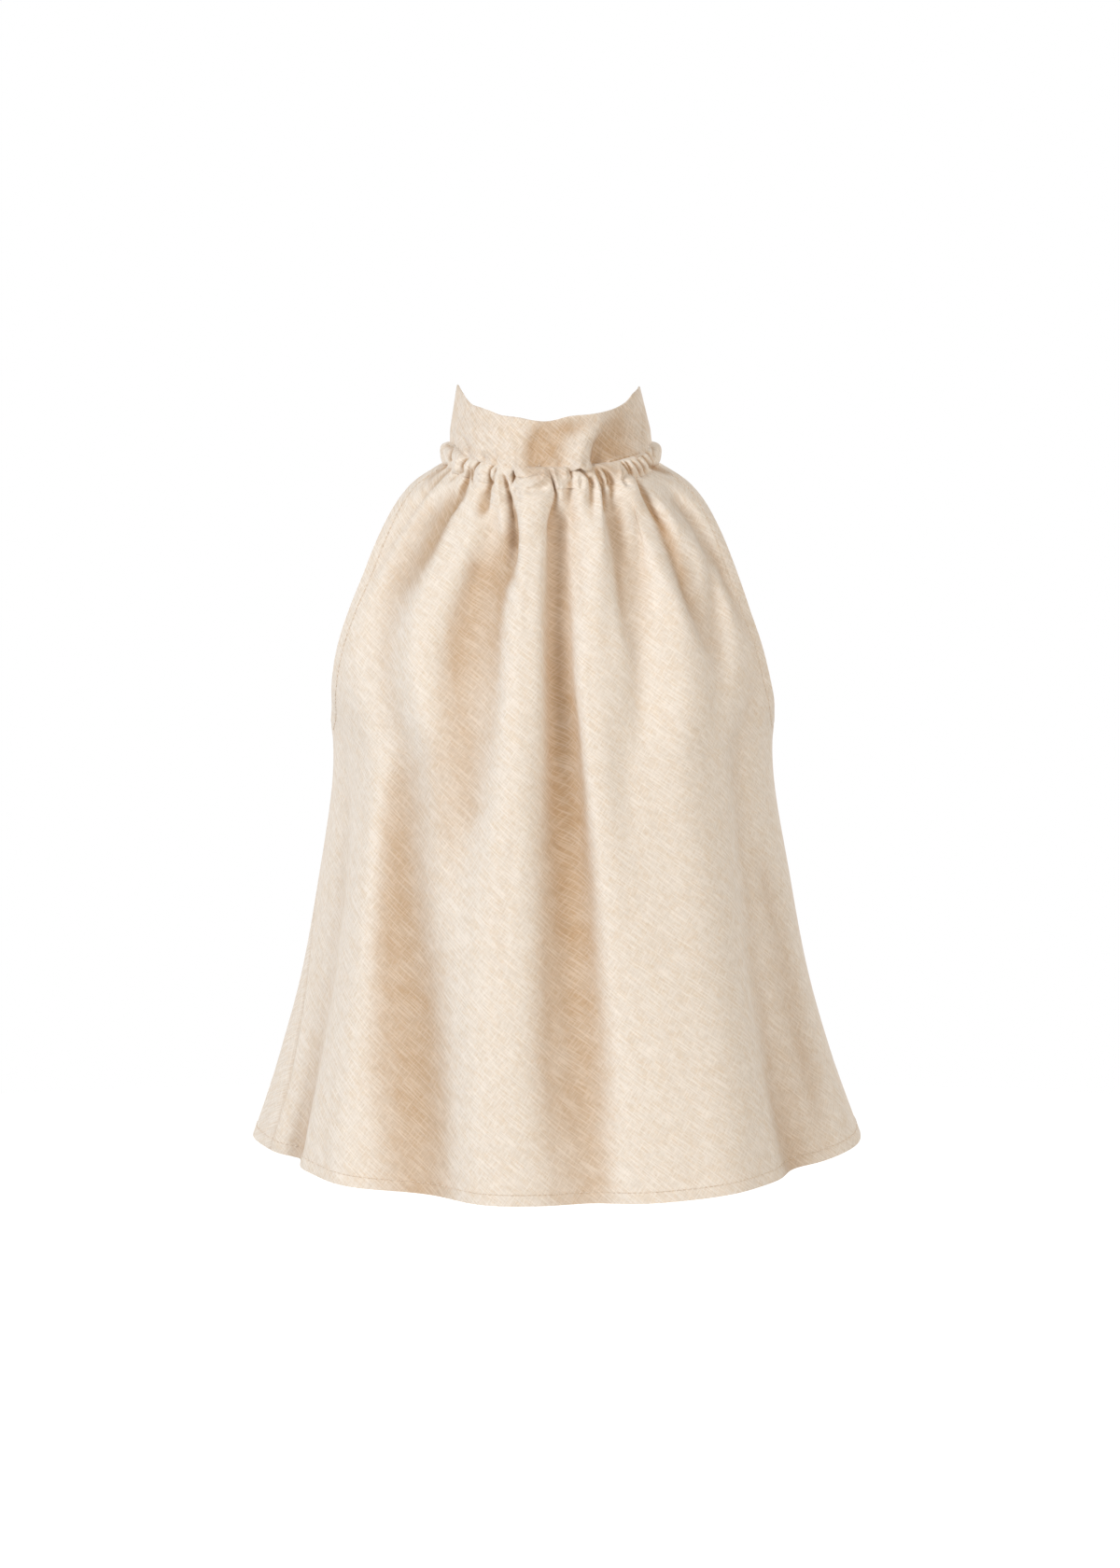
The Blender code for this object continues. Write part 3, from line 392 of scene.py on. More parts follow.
COLLAR_CREASES = (
    Crease("middle hollow", 2.0, -0.3, ((592, 438, 10, 0), (584, 455, 13, -1.6), (575, 471, 15, -3.2),
        (572, 486, 17, -4), (573, 496, 16, -3), (573, 505, 15, -1.6))),
    Crease("swell right of it", 2.0, 0.3, ((630, 448, 8, 0), (627, 466, 9, 1), (623, 484, 9, 2.4),
        (621, 500, 8, 2.2))),
    Crease("pinch", 1.6, -0.5, ((656, 440, 14, -0.3), (649, 460, 11, -1.6), (641, 476, 8, -4.8),
        (638, 490, 6.5, -7.8), (642, 500, 5, -7))),
    Crease("shadow right of the pinch", 2.0, 0.0, ((668, 440, 14, -0.6), (660, 462, 14, -1.6),
        (650, 482, 12, -2), (648, 496, 9, -1.6))),
    Crease("lip", 1.7, 0.5, ((648, 496, 2.4, 0.2), (656, 489, 3, 1), (665, 486, 3.2, 1.2),
        (678, 484, 3.2, 0.9), (692, 480, 3, 0.2))),
    Crease("underside of the lip", 1.8, 0.0, ((650, 498, 2, 0), (660, 492, 2.6, -2.2),
        (672, 489, 2.6, -2.4), (686, 484, 2.4, -1.4), (694, 481, 2, 0))),
    Crease("side fold", 1.6, 0.3, ((688, 424, 2.5, 0), (690, 445, 2.8, -0.9), (690, 465, 2.8, -1),
        (690, 480, 2.4, 0))),
    Crease("left turn", 2.0, 0.0, ((500, 436, 8, 0.3), (503, 460, 9, 0.8), (508, 480, 9, 0.6),
        (516, 492, 8, 0.4))),
    Crease("left S fold", 1.4, -0.2, ((494, 464, 1.6, 0), (497, 471, 2, -1.8), (501, 479, 2, -2.6),
        (502, 487, 1.8, -2))),
    Crease("ridge left of the S fold", 1.8, 0.0, ((489, 466, 2, 0), (493, 474, 2.6, 1.2),
        (498, 482, 2.6, 1.2), (499, 488, 2.4, 0.6))),
    Crease("dark pucker", 2.0, 0.0, ((512, 488, 2.4, 0), (518, 491, 3, -2), (524, 492, 2.6, -0.8),
        (527, 494, 2, 0))),
    Crease("bright pucker", 1.8, 0.0, ((514, 485, 2, 0), (521, 486, 2.4, 1.4), (526, 491, 2.4, 1.4),
        (528, 496, 2, 0.6))),
    Crease("fold of the pucker", 1.6, 0.0, ((521, 480, 2, 0), (527, 484, 2.2, -1.2),
        (530, 490, 2.2, -1.8), (531, 497, 2, -1.2))),
    Crease("speck right of the puckers", 1.8, 0.0, ((540, 494, 1.6, 0), (541, 499, 1.8, -1.4),
        (541, 503, 1.6, -0.8))),
    Crease("right pucker", 1.8, 0.0, ((598, 492, 2.4, 0), (600, 498, 2.4, -1.4), (601, 503, 2.4, -1))),
    Crease("broad hollow of the middle", 2.0, 0.0, ((602, 428, 36, -0.8), (600, 455, 38, -2.2),
        (594, 480, 38, -2.9), (590, 494, 36, -2.4), (590, 505, 34, -1.4))),
    Crease("hollow above the bulge", 2.0, 0.0, ((592, 462, 5, -0.6), (606, 459, 6.5, -1.8),
        (620, 459, 8, -2.2), (634, 454, 7, -0.8))),
    Crease("broad hollow of the right", 2.0, 0.0, ((672, 430, 14, -0.8), (671, 448, 17, -1.9),
        (670, 468, 18, -2.5), (670, 484, 20, -3.9), (671, 498, 18, -4.2))),
)

# Shares of painted shadow, not heights, where the gathers lie under the collar's overhang.
UNDER_COLLAR_SHADOW = (
    Crease("under the middle", 2.0, 0.0, ((556, 500, 6, 0), (568, 503, 9, 0.5), (580, 507, 10, 0.6),
        (592, 507, 8, 0.45), (606, 506, 7, 0.35), (618, 504, 6, 0))),
    Crease("under the pinch", 2.0, 0.0, ((624, 500, 5, 0), (636, 502, 6, 0.6), (648, 502, 7, 0.7),
        (660, 504, 8, 0.5), (674, 506, 8, 0.25), (690, 503, 7, 0.2), (704, 498, 6, 0))),
)

# ---- casing --------------------------------------------------------------------------------
CASING_HEIGHT = 14.0 * MM
CASING_SEAM = 0.3 * MM    # the gap of the frame's seam, which the casing's cloth fills
CASING_INSIDE = 3.4 * MM  # the inner face lies this far inside the collar's foot
NECK_RADIUS = 66.0 * MM
CASING_SIDE_Z = -3.0 * MM
CASING_FRONT_DIP = 17.5 * MM
CASING_BACK_DIP = 14.0 * MM
# How far the casing stands out from the collar's foot, in mm, from its lower to its upper edge.
CASING_RISES = (0.00, 0.12, 0.35, 0.62, 0.82, 0.94, 1.00)
CASING_OUT_SIDE = (4.0, 4.8, 5.4, 5.6, 4.6, 2.0, -1.6)
CASING_OUT_FRONT = (1.4, 1.2, 1.0, 1.0, 0.8, -0.2, -2.2)
GATHERS_DEEP = 1.2        # how deep the creases of the neck are, against their tables
SWELL = 2.6               # mm that the gathers stand out at the front and back, over the seam
TUCKS = 86                # fine tucks round the whole neck
TUCK_SEED = 7
# Least and most of each tuck: space, half-width and depth in mm, reach in mm below the casing, slant.
TUCK_RANGES = ((0.6, 1.4), (0.8, 1.5), (0.7, 2.0), (3.0, 16.0), (-0.25, 0.25))
TUCK_REACH = 4.0          # half-widths from its middle where a tuck ends
CREASE_REACH = 3.5
# Soft rises: start and length, in mm below the casing's lower edge, then in degrees from the front.
SWELL_ABOVE = (-14.5, 9.0)
SWELL_BELOW = (2.0, 22.0)
TUCKS_ABOVE = (-15.0, 4.0)
TUCKS_FADE = (66.0, 16.0)
FRONT_FADE = (74.0, 14.0)
BACK_FADE = (93.0, 12.0)

# ---- collar --------------------------------------------------------------------------------
COLLAR_FOOT_WIDE = 70.0 * MM
COLLAR_TOP_WIDE = 62.4 * MM
COLLAR_FOOT_FRONT = 62.3 * MM
COLLAR_TOP_FRONT = 57.5 * MM
COLLAR_FOOT_BACK = 59.3 * MM
COLLAR_TOP_BACK = 55.0 * MM
COLLAR_LEAN = -1.6 * MM   # its top leans a little to the left
COLLAR_BELOW = -0.3       # its foot lies this share of its height below the frame's collar, at most
# Height in mm of the collar's top and lower edge at angles all round.
COLLAR_TOP = (
    (-180, 24), (-150, 25), (-120, 31), (-100, 42), (-90, 48.4), (-82, 47.9), (-73, 44.6), (-64, 39.5),
    (-56, 35), (-49, 33.2), (-39, 30.4), (-31, 27.6), (-19, 26), (-7, 23.8), (2, 24.1), (14, 26.9),
    (28, 28.2), (43, 31.1), (58, 36.2), (69, 42.6), (82, 46.4), (90, 47.6), (100, 42.5), (120, 31.5),
    (150, 25.5), (180, 24))
COLLAR_FOOT = (
    (-180, -4.5), (-150, -3.5), (-120, 1), (-100, 6.5), (-90, 9.5), (-74, 9.5), (-63, 5.5), (-56, 1.9),
    (-50, 1), (-44, -1.5), (-38, -3.7), (-32, -5), (-26, -6.2), (-21.5, -7.4), (-19.5, -9),
    (-18.4, -11.6), (-12.6, -12.4), (-8.4, -11.8), (-7, -10.4), (-5.5, -9.4), (0, -9.2), (8, -9.2),
    (12, -8), (15.4, -6.8), (18, -8.1), (21.3, -7.6), (24, -5.4), (29, -5.6), (33, -5), (38, -3.7),
    (49, -1.3), (63, 4), (74, 9), (90, 9.5), (100, 6.5), (120, 1), (150, -3.5), (180, -4.5))
# How far in mm the lower edge stands out over the casing, and over what height.
COLLAR_FLARE = (
    (-180, -1.2), (-90, -1.2), (-63, -0.6), (-50, 0.4), (-38, 1.4), (-28, 1.6), (-21, 2), (-18, 5.2),
    (-9, 5.4), (-6.5, 2.2), (-4, -0.4), (0, -0.8), (9, -0.6), (13, 3.8), (20, 4.6), (24, 2), (30, 2.4),
    (38, 4), (52, 4.2), (63, 2.4), (78, -0.6), (90, -1.2), (180, -1.2))
COLLAR_FLARE_HEIGHT = 11.0 * MM
COLLAR_RIM = 0.45         # its edges are rounded by this share of its thickness

# ---- linen ---------------------------------------------------------------------------------
WHITE = (1.0, 1.0, 1.0)
LINEN_LIGHT = (0.845, 0.775, 0.70)
# Painted shade: the colour of the linen deep in its troughs, darker and warmer.
LINEN_SHADE_COLOUR = (0.54, 0.375, 0.235)
# Painted shade: the collar's linen is a darker copy of the panels', for the lower light on the collar.
COLLAR_SHADED_COLOUR = (0.80, 0.72, 0.64)
COLLAR_CONTRAST = 1.4
FLECK_TINT = (0.96, 0.89, 0.80)   # what the ground between the pale threads is multiplied by
THREAD_COLOUR = (0.66, 0.52, 0.38)
THREAD_TWIST = 1400.0
THREAD_STRANDS = (0.35, 0.65)     # the range of noise that shows in the thread
THREAD_ROUGHNESS = (0.7, {"strands": 0.15})
LINEN_GLOSS = {"Sheen Weight": 0.12, "Sheen Roughness": 0.6, "Specular IOR Level": 0.15}
LINEN_BUMP = {"Strength": 0.35, "Distance": 0.07 * MM}
# Degrees that the threads are turned: those of the warp show most and run down to the right.
WAYS = {"warp": 40.0, "weft": -58.0}
STREAK_ROUGHNESS = 0.6
# Streaks of the weave: their way, length and width in mm, detail, and the range of noise that shows.
STREAKS = {
    "warp": ("warp", 9.0, 1.1, 2.0, None),
    "weft": ("weft", 6.0, 1.1, 2.0, None),
    "slubs": ("warp", 18.0, 0.95, 0.0, (0.55, 0.68)),
    "cross slubs": ("weft", 12.0, 0.95, 0.0, (0.59, 0.72)),
    "patches": ("warp", 10.0, 5.5, 3.0, (0.40, 0.68)),
    "blotches": ("warp", 24.0, 17.0, 3.0, None),
    "flecks": ("warp", 2.4, 1.7, 1.0, (0.52, 0.72)),
}
CROSS_SLUBS_PALE = 0.6    # against the slubs of the warp
# Weighted sums of the streaks: a start, and the weight of each.
THREADS = (-4.3, {"warp": 4.2, "weft": 4.2})
WARMTH = (-0.10, {"flecks": 0.34, "patches": 0.36, "blotches": 0.6, "pale": -0.50, "threads": -0.13})
# RAGGED makes the edges of the painted shade in the troughs uneven.
RAGGED = (0.79, {"blotches": 0.46, "pale": -0.12})
GAIN = (0.948, {"pale": 0.058, "grain": 0.043})
ROUGHNESS = (0.86, {"threads": -0.04})
BUMP_HEIGHT = (0.0, {"threads": 1.0, "slubs": 0.8})
# Painted shade of a hollow, warmer and darker: the depth in mm at which it starts, how much deeper it is
# full, and its share.
BROAD_SHADE = (0.5, 12.0, 0.62)
MIDDLE_SHADE = (0.3, 6.2, 0.80)
FINE_SHADE = (0.2, 2.3, 0.88)
# Painted shade along the hem's pressed line of stitches, and in the side seams' grooves.
HEM_SHADE = 0.10
SEAM_SHADE = 0.25
COLLAR_SHADE = 1.3        # how much more painted shade the collar's hollows get than the panels'

# ---- studio --------------------------------------------------------------------------------
Light = namedtuple("Light", "name place size power colour")
LIGHTS = (
    Light("key light", (-2.25, -1.8, 1.0), 1.3, 60.5, (0.985, 0.993, 1.0)),
    Light("fill light", (1.7, -2.4, 0.4), 1.8, 43.5, (1.0, 0.935, 0.845)),
    Light("back light", (1.4, 2.4, 0.9), 1.6, 40.0, WHITE),
    Light("left back light", (-1.8, 2.0, 0.4), 1.6, 20.0, WHITE),
)
LIGHTS_AIM = (0.0, 0.0, -0.25)
ROOM_COLOUR = (1.0, 0.94, 0.865)
ROOM_GLOW = 0.30
FLOOR_COLOUR = (0.55, 0.545, 0.54)

# ---- how finely the pieces are made --------------------------------------------------------
FRONT_COLUMNS = 384
BACK_COLUMNS = 300
ARMHOLE_ROWS = (3, 0.75)  # first row, and share of the rows, in which an armhole's stitches may lie
COLUMN_SPREAD = 0.76      # spacing of the columns at the middle, against an even spacing
PANEL_ROWS = ((0.0, 0.05, 26), (0.05, 0.16, 28), (0.16, 0.39, 26), (0.39, 0.965, 32), (0.965, 1.0, 14))
CASING_COLUMNS = 1100
CASING_ROWS = 30
COLLAR_COLUMNS = 520
COLLAR_ROWS = 56
SHARP_EDGE = math.radians(65.0)
ANGLE_STEP = 0.4          # degrees and share of the fall over which slopes of the cloth are taken
FALL_STEP = 0.003
LINE_STEP = 0.8 * MM      # between the points of an edge to which distances are taken
LINE_BLOCK = 16           # points that are measured together


# ---- small helpers -------------------------------------------------------------------------
def curve_through(stations, values, at):
    """Values on the smooth curve through the values at the stations."""
    stations = np.asarray(stations, float)
    values = np.asarray(values, float)
    steps = np.arange(len(stations))
    before = np.maximum(steps - 1, 0)
    after = np.minimum(steps + 1, len(stations) - 1)
    slopes = (values[after] - values[before]) / (stations[after] - stations[before])
    at = np.clip(at, stations[0], stations[-1])
    i = np.clip(np.searchsorted(stations, at, side="right") - 1, 0, len(stations) - 2)
    span = stations[i + 1] - stations[i]
    t = (at - stations[i]) / span
    slope_a = slopes[i] * span
    slope_b = slopes[i + 1] * span
    rise = values[i + 1] - values[i]
    return (values[i] + slope_a * t
            + (3.0 * rise - 2.0 * slope_a - slope_b) * t * t
            + (slope_a + slope_b - 2.0 * rise) * t * t * t)


def column_at(table, column, fall):
    """One column of a table of rows at shares of the fall."""
    return curve_through([row.fall for row in table], [getattr(row, column) for row in table], fall)


def smooth_step(at):
    """0 below 0, 1 above 1, and a soft rise between them."""
    t = np.clip(at, 0.0, 1.0)
    return t * t * (3.0 - 2.0 * t)


def rise_over(value, start, length):
    """0 up to the start, then a soft rise to 1 over the length."""
    return smooth_step((value - start) / length)


def towards_middle(angle):
    """0 at the sides and 1 at the centre front or back, rounded over the sides."""
    c = np.cos(np.radians(angle))
    top = math.sqrt(1.0 + SIDE_ROUNDING ** 2) - SIDE_ROUNDING
    return (np.sqrt(c * c + SIDE_ROUNDING ** 2) - SIDE_ROUNDING) / top


def by_half(angle, front, back):
    """One value for the front half of a ring and one for the back half."""
    return np.where(np.cos(np.radians(angle)) >= 0.0, front, back)


def turned_difference(angle, other=0.0):
    """Difference of two angles in degrees, from -180 to 180."""
    return (angle - other + 180.0) % 360.0 - 180.0


def round_table(table, angle):
    """Value in metres at angles from -180 to 180 of a table of (angle, mm) that runs all round."""
    return curve_through(*zip(*table), turned_difference(angle)) * MM


def picture_place(points):
    """Where points fall on the picture, in its pixels."""
    place = np.array(CAMERA_PLACE)
    ahead = np.array(CAMERA_AIM) - place
    ahead /= np.linalg.norm(ahead)
    right = np.array((1.0, 0.0, 0.0))
    up = np.cross(right, ahead)
    focal = FOCAL_LENGTH / SENSOR * PICTURE_TALL
    from_camera = points - place
    depth = from_camera @ ahead
    x = PICTURE_WIDE / 2 + focal * (from_camera @ right) / depth
    y = PICTURE_TALL / 2 - focal * (from_camera @ up) / depth
    return x, y


def unit(vectors):
    """The vectors at length 1."""
    return vectors / np.maximum(np.linalg.norm(vectors, axis=-1, keepdims=True), 1e-12)


def outward_normals(points, closed=False):
    """Unit normals of a grid of points, rows down and columns towards +X on the front."""
    if closed:
        across = np.roll(points, -1, axis=1) - np.roll(points, 1, axis=1)
    else:
        across = np.gradient(points, axis=1)
    return unit(np.cross(np.gradient(points, axis=0), across))


def along_lengths(points, axis):
    """Length along the rows or columns of a grid, from its first point."""
    steps = np.linalg.norm(np.diff(points, axis=axis), axis=-1)
    pad = [(0, 0), (0, 0)]
    pad[axis] = (1, 0)
    return np.pad(np.cumsum(steps, axis=axis), pad)


def line_lengths(points):
    """Length along a line of points, from its first point."""
    return np.concatenate(([0.0], np.cumsum(np.linalg.norm(np.diff(points, axis=0), axis=1))))


def places_along(at, lengths, line):
    """What the columns of a line of points are at lengths along it."""
    return np.stack([np.interp(at, lengths, column) for column in line.T], axis=-1)


def oval(angle, wide, depth, z):
    """Points of level ovals at angles all round."""
    a = np.radians(angle)
    return np.stack(np.broadcast_arrays(wide * np.sin(a), -depth * np.cos(a), z), axis=-1)


def level_outward(angle, wide, depth):
    """Level unit directions that point out of an oval."""
    return unit(oval(angle, depth, wide, 0.0))


# ---- creases -------------------------------------------------------------------------------
def crease_height(crease, x, y):
    """Height in mm that one crease adds at places of the picture."""
    path = np.array(crease.path, float)
    best = np.full(x.shape, np.inf)
    side = np.zeros(x.shape)
    wide = np.ones(x.shape)
    deep = np.zeros(x.shape)
    for a, b in zip(path[:-1], path[1:]):
        run = b[:2] - a[:2]
        length = float(run @ run)
        t = np.clip(((x - a[0]) * run[0] + (y - a[1]) * run[1]) / length, 0.0, 1.0)
        off_x = x - a[0] - t * run[0]
        off_y = y - a[1] - t * run[1]
        distance = np.hypot(off_x, off_y)
        nearer = distance < best
        best = np.where(nearer, distance, best)
        side = np.where(nearer, np.sign(off_x * run[1] - off_y * run[0]), side)
        wide = np.where(nearer, a[2] + (b[2] - a[2]) * t, wide)
        deep = np.where(nearer, a[3] + (b[3] - a[3]) * smooth_step(t), deep)
    reach = wide * (1.0 - crease.lean * side)
    return deep * np.exp(-(best / reach) ** crease.form)


def creases_height(creases, x, y):
    """Sum of creases in metres at places of the picture."""
    height = np.zeros(x.shape)
    for crease in creases:
        path = np.array(crease.path, float)
        reach = CREASE_REACH * path[:, 2].max()
        near = ((x > path[:, 0].min() - reach) & (x < path[:, 0].max() + reach)
                & (y > path[:, 1].min() - reach) & (y < path[:, 1].max() + reach))
        if near.any():
            height[near] += crease_height(crease, x[near], y[near])
    return height * MM


def tucks_height(angle, down, radius):
    """Height in metres of the fine tucks. down is the way below the casing's lower edge in mm."""
    random = np.random.default_rng(TUCK_SEED)
    spaces, wides, deeps, belows, slants = [random.uniform(*most, TUCKS) for most in TUCK_RANGES]
    turns = np.cumsum(spaces) / spaces.sum() * 360.0
    height = np.zeros(np.broadcast(angle, down).shape)
    for turn, wide, deep, below, slant in zip(turns, wides, deeps, belows, slants):
        across = np.radians(turned_difference(angle, turn)) * radius / MM - slant * down
        near = np.abs(across) < TUCK_REACH * wide
        fade = rise_over(down, *TUCKS_ABOVE) * (1.0 - smooth_step(down / below))
        height -= np.where(near, deep * np.exp(-(across / wide) ** 2) * fade, 0.0)
    return height * MM * rise_over(np.abs(turned_difference(angle)), *TUCKS_FADE)


def front_share(angle):
    """1 on the front, where the creases are placed on the picture, fading out at the sides."""
    return 1.0 - rise_over(np.abs(turned_difference(angle)), *FRONT_FADE)


def both_sides(front_creases, back_creases, points, angle):
    """Height in metres of the creases of the front and of the back."""
    front = creases_height(front_creases, *picture_place(points)) * front_share(angle)
    back = creases_height(back_creases, -points[..., 0] / MM, -points[..., 2] / MM)
    return front + back * rise_over(np.abs(turned_difference(angle)), *BACK_FADE)


def gathers_height(points, angle, down):
    """Height in metres of the gathers round the neck. down is the way below the casing in mm."""
    radius = np.hypot(points[..., 0], points[..., 1])
    return (GATHERS_DEEP * both_sides(NECK_CREASES, BACK_NECK_CREASES, points, angle)
            + tucks_height(angle, down, radius))


def seam_swell(angle, down):
    """How far the gathers stand out round the seam of the casing, in metres."""
    share = rise_over(down, *SWELL_ABOVE) * (1.0 - rise_over(down, *SWELL_BELOW))
    return SWELL * MM * towards_middle(angle) * share


def painted_shadow_under_collar(points, angle):
    """Share of painted shadow on the gathers in front, under the collar's overhang."""
    share = creases_height(UNDER_COLLAR_SHADOW, *picture_place(points)) / MM
    return np.clip(share, 0.0, 1.0) * front_share(angle)


def unshaded_share(height, start, length, share):
    """How much of its light colour a hollow keeps under painted shade, from 1 where it is level."""
    return 1.0 - share * rise_over(-height / MM, start, length)


def trough_shade(folds, creases, gathers):
    """Painted shade: 0 on the crests to 1 deep in the troughs, painted there warmer and darker."""
    broad = unshaded_share(folds + np.maximum(creases, 0.0), *BROAD_SHADE)
    return 1.0 - broad * unshaded_share(creases, *MIDDLE_SHADE) * unshaded_share(gathers, *FINE_SHADE)


def shade_under_collar(shade, points, angle):
    """A painted shade with the painted shadow under the collar's overhang added."""
    return 1.0 - (1.0 - shade) * (1.0 - painted_shadow_under_collar(points, angle))


# ---- front and back ------------------------------------------------------------------------
def section_at(fall):
    """The sizes of the form in metres at shares of the fall."""
    return {column: column_at(SECTIONS, column, fall) * MM for column in Section._fields[1:]}


def fold_height(angle, fall, sizes):
    """Sum of the big folds in metres."""
    a = np.radians(angle)
    depth = by_half(angle, sizes["front"], sizes["back"])
    per_radian = np.hypot(sizes["wide"] * np.cos(a), depth * np.sin(a))
    height = np.zeros(angle.shape)
    for fold in FOLDS:
        turn = curve_through(STATIONS, fold.turn, fall)
        across = np.radians(turned_difference(angle, turn)) * per_radian
        wide = curve_through(STATIONS, fold.wide, fall) * MM
        deep = curve_through(STATIONS, fold.deep, fall) * MM
        height += deep * np.exp(-(across / wide) ** 2)
    return height * smooth_step(fall / FOLD_START)


def cloth_points(angle, fall):
    """Points on the outside of the front or back with its big folds."""
    sizes = section_at(fall)
    depth = by_half(angle, sizes["front"], sizes["back"])
    end_z = by_half(angle, sizes["front_z"], sizes["back_z"])
    z = sizes["side_z"] + (end_z - sizes["side_z"]) * towards_middle(angle)
    outward = level_outward(angle, sizes["wide"], depth)
    points = oval(angle, sizes["wide"], depth, z) + outward * fold_height(angle, fall, sizes)[..., None]
    points[..., 0] += sizes["lean"]
    return points


def cloth_normals(angle, fall):
    """Unit normals of the cloth with its big folds, the same for both panels where they meet."""
    across = cloth_points(angle + ANGLE_STEP, fall) - cloth_points(angle - ANGLE_STEP, fall)
    down = (cloth_points(angle, np.minimum(fall + FALL_STEP, 1.0))
            - cloth_points(angle, np.maximum(fall - FALL_STEP, 0.0)))
    return unit(np.cross(down, across))


def panel_edge(part, side, fall):
    """Angles at which the front or back ends on one side."""
    edge = column_at(ARMHOLE, part, fall)
    armhole = side * (edge if part == "front" else 180.0 - edge)
    turn = RIGHT_SEAM_TURN if side > 0 else LEFT_SEAM_TURN
    seam = side * (90.0 - turn * rise_over(fall, UNDERARM_FALL, 1.0 - UNDERARM_FALL))
    return np.where(fall < UNDERARM_FALL, armhole, seam)


def column_angles(part, falls, columns):
    """Angles of the columns of every row, upright in the middle and bent with the edges."""
    across = np.linspace(-1.0, 1.0, columns + 1)[None, :]
    side = np.where(across >= 0.0, 1.0, -1.0)
    edge = np.where(side > 0, panel_edge(part, 1, falls)[:, None], panel_edge(part, -1, falls)[:, None])
    middle = np.zeros_like(side) if part == "front" else 180.0 * side
    quarter = 90.0 * side if part == "front" else -90.0 * side
    share = np.abs(across)
    share = share * (COLUMN_SPREAD + (1.0 - COLUMN_SPREAD) * share ** 2)
    return middle + quarter * share + (edge - middle - quarter) * share ** EDGE_BEND


def panel_falls():
    """Rows of a panel, close together at the neck and at the hem."""
    rows = [np.linspace(low, high, count, endpoint=False) for low, high, count in PANEL_ROWS]
    return np.concatenate(rows + [np.array([1.0])])


def distance_to_line(points, line):
    """Distance of each point from a line, which gets a point every step."""
    lengths = line_lengths(line)
    dense = places_along(np.arange(0.0, lengths[-1], LINE_STEP), lengths, line).astype(np.float32)
    flat = points.reshape(-1, 3).astype(np.float32)
    nearest = np.full(len(flat), np.inf, np.float32)
    for start in range(0, len(dense), LINE_BLOCK):
        block = dense[start:start + LINE_BLOCK]
        apart = ((flat[:, None, :] - block[None, :, :]) ** 2).sum(-1).min(1)
        nearest = np.minimum(nearest, apart)
    return np.sqrt(nearest).reshape(points.shape[:-1]).astype(float)


def hem_distance(points, falls):
    """Distance of each point of a panel from its nearest hemmed edge."""
    rows = np.searchsorted(falls, UNDERARM_FALL) + 1
    down = along_lengths(points, 0)
    distance = down[-1:] - down
    for side in (0, -1):
        distance = np.minimum(distance, distance_to_line(points, points[:rows, side]))
    return distance


def seam_distance(points, falls):
    """Distance of each point of a panel from the nearest side seam."""
    across = along_lengths(points, 1)
    distance = np.minimum(across, across[:, -1:] - across)
    distance[:np.searchsorted(falls, UNDERARM_FALL)] = 1.0
    return distance


def pressed_line(distance):
    """1 on the line where the hem's stitches pull the cloth in."""
    return np.exp(-((distance - STITCH_FROM_EDGE) / PRESSED_WIDE) ** 2)


def hem_profile(distance):
    """Height of a turned hem over the cloth: a band with a pressed line of stitches."""
    band = 1.0 - smooth_step((distance - HEM_WIDE) / HEM_SOFT + 0.5)
    return HEM_RAISE * (band - pressed_line(distance))


def panel_surface(part, columns):
    """Outer face of a panel, its normals, cloth coordinates, hem distance and painted shade at each point.
    """
    falls = panel_falls()
    angle = column_angles(part, falls, columns)
    fall = np.broadcast_to(falls[:, None], angle.shape)
    base = cloth_points(angle, fall)
    sizes = section_at(fall)
    level = level_outward(angle, sizes["wide"], by_half(angle, sizes["front"], sizes["back"]))
    below_seam = smooth_step(fall / SEAM_BLEND)[..., None]
    facing = unit(level + (cloth_normals(angle, fall) - level) * below_seam)
    down = along_lengths(base, 0) / MM
    gathers = gathers_height(base, angle, down)
    creases = both_sides(BODY_CREASES, BACK_BODY_CREASES, base, angle)
    hem = hem_distance(base, falls)
    seam = np.exp(-(seam_distance(base, falls) / SEAM_WIDE) ** 2)
    height = gathers + creases + hem_profile(hem) - SEAM_DEEP * seam
    points = base + facing * height[..., None] + level * seam_swell(angle, down)[..., None]
    # Painted shade: darker, warmer troughs, a shadow under the collar's overhang, and shade along the hem's
    # pressed line and in the side seams' grooves.
    shade = trough_shade(fold_height(angle, fall, sizes), creases, gathers)
    shade = shade_under_collar(shade, base, angle)
    shade = np.clip(shade + HEM_SHADE * pressed_line(hem) + SEAM_SHADE * seam, 0.0, 1.0)
    across = along_lengths(base, 1)
    across -= across[:, columns // 2:columns // 2 + 1]
    along = -along_lengths(base, 0).mean(axis=1, keepdims=True)
    cloth = np.stack(np.broadcast_arrays(across, along), axis=-1)
    normals = outward_normals(points)
    if part == "back":
        # The back's columns run from the left side to the right by way of the centre back.
        normals = -normals
    return points, normals, cloth, hem, shade


# ---- meshes --------------------------------------------------------------------------------
def add_object(name, data):
    """An object in the scene that shows a mesh, a light or a camera."""
    thing = bpy.data.objects.new(name, data)
    bpy.context.collection.objects.link(thing)
    return thing


def grid_quads(rows, columns, closed):
    """Corner numbers of the quads of a grid."""
    r = np.arange(rows - 1)[:, None]
    c = np.arange(columns if closed else columns - 1)[None, :]
    a = r * columns + c
    b = r * columns + (c + 1) % columns
    return np.stack((a, a + columns, b + columns, b), axis=-1).reshape(-1, 4)


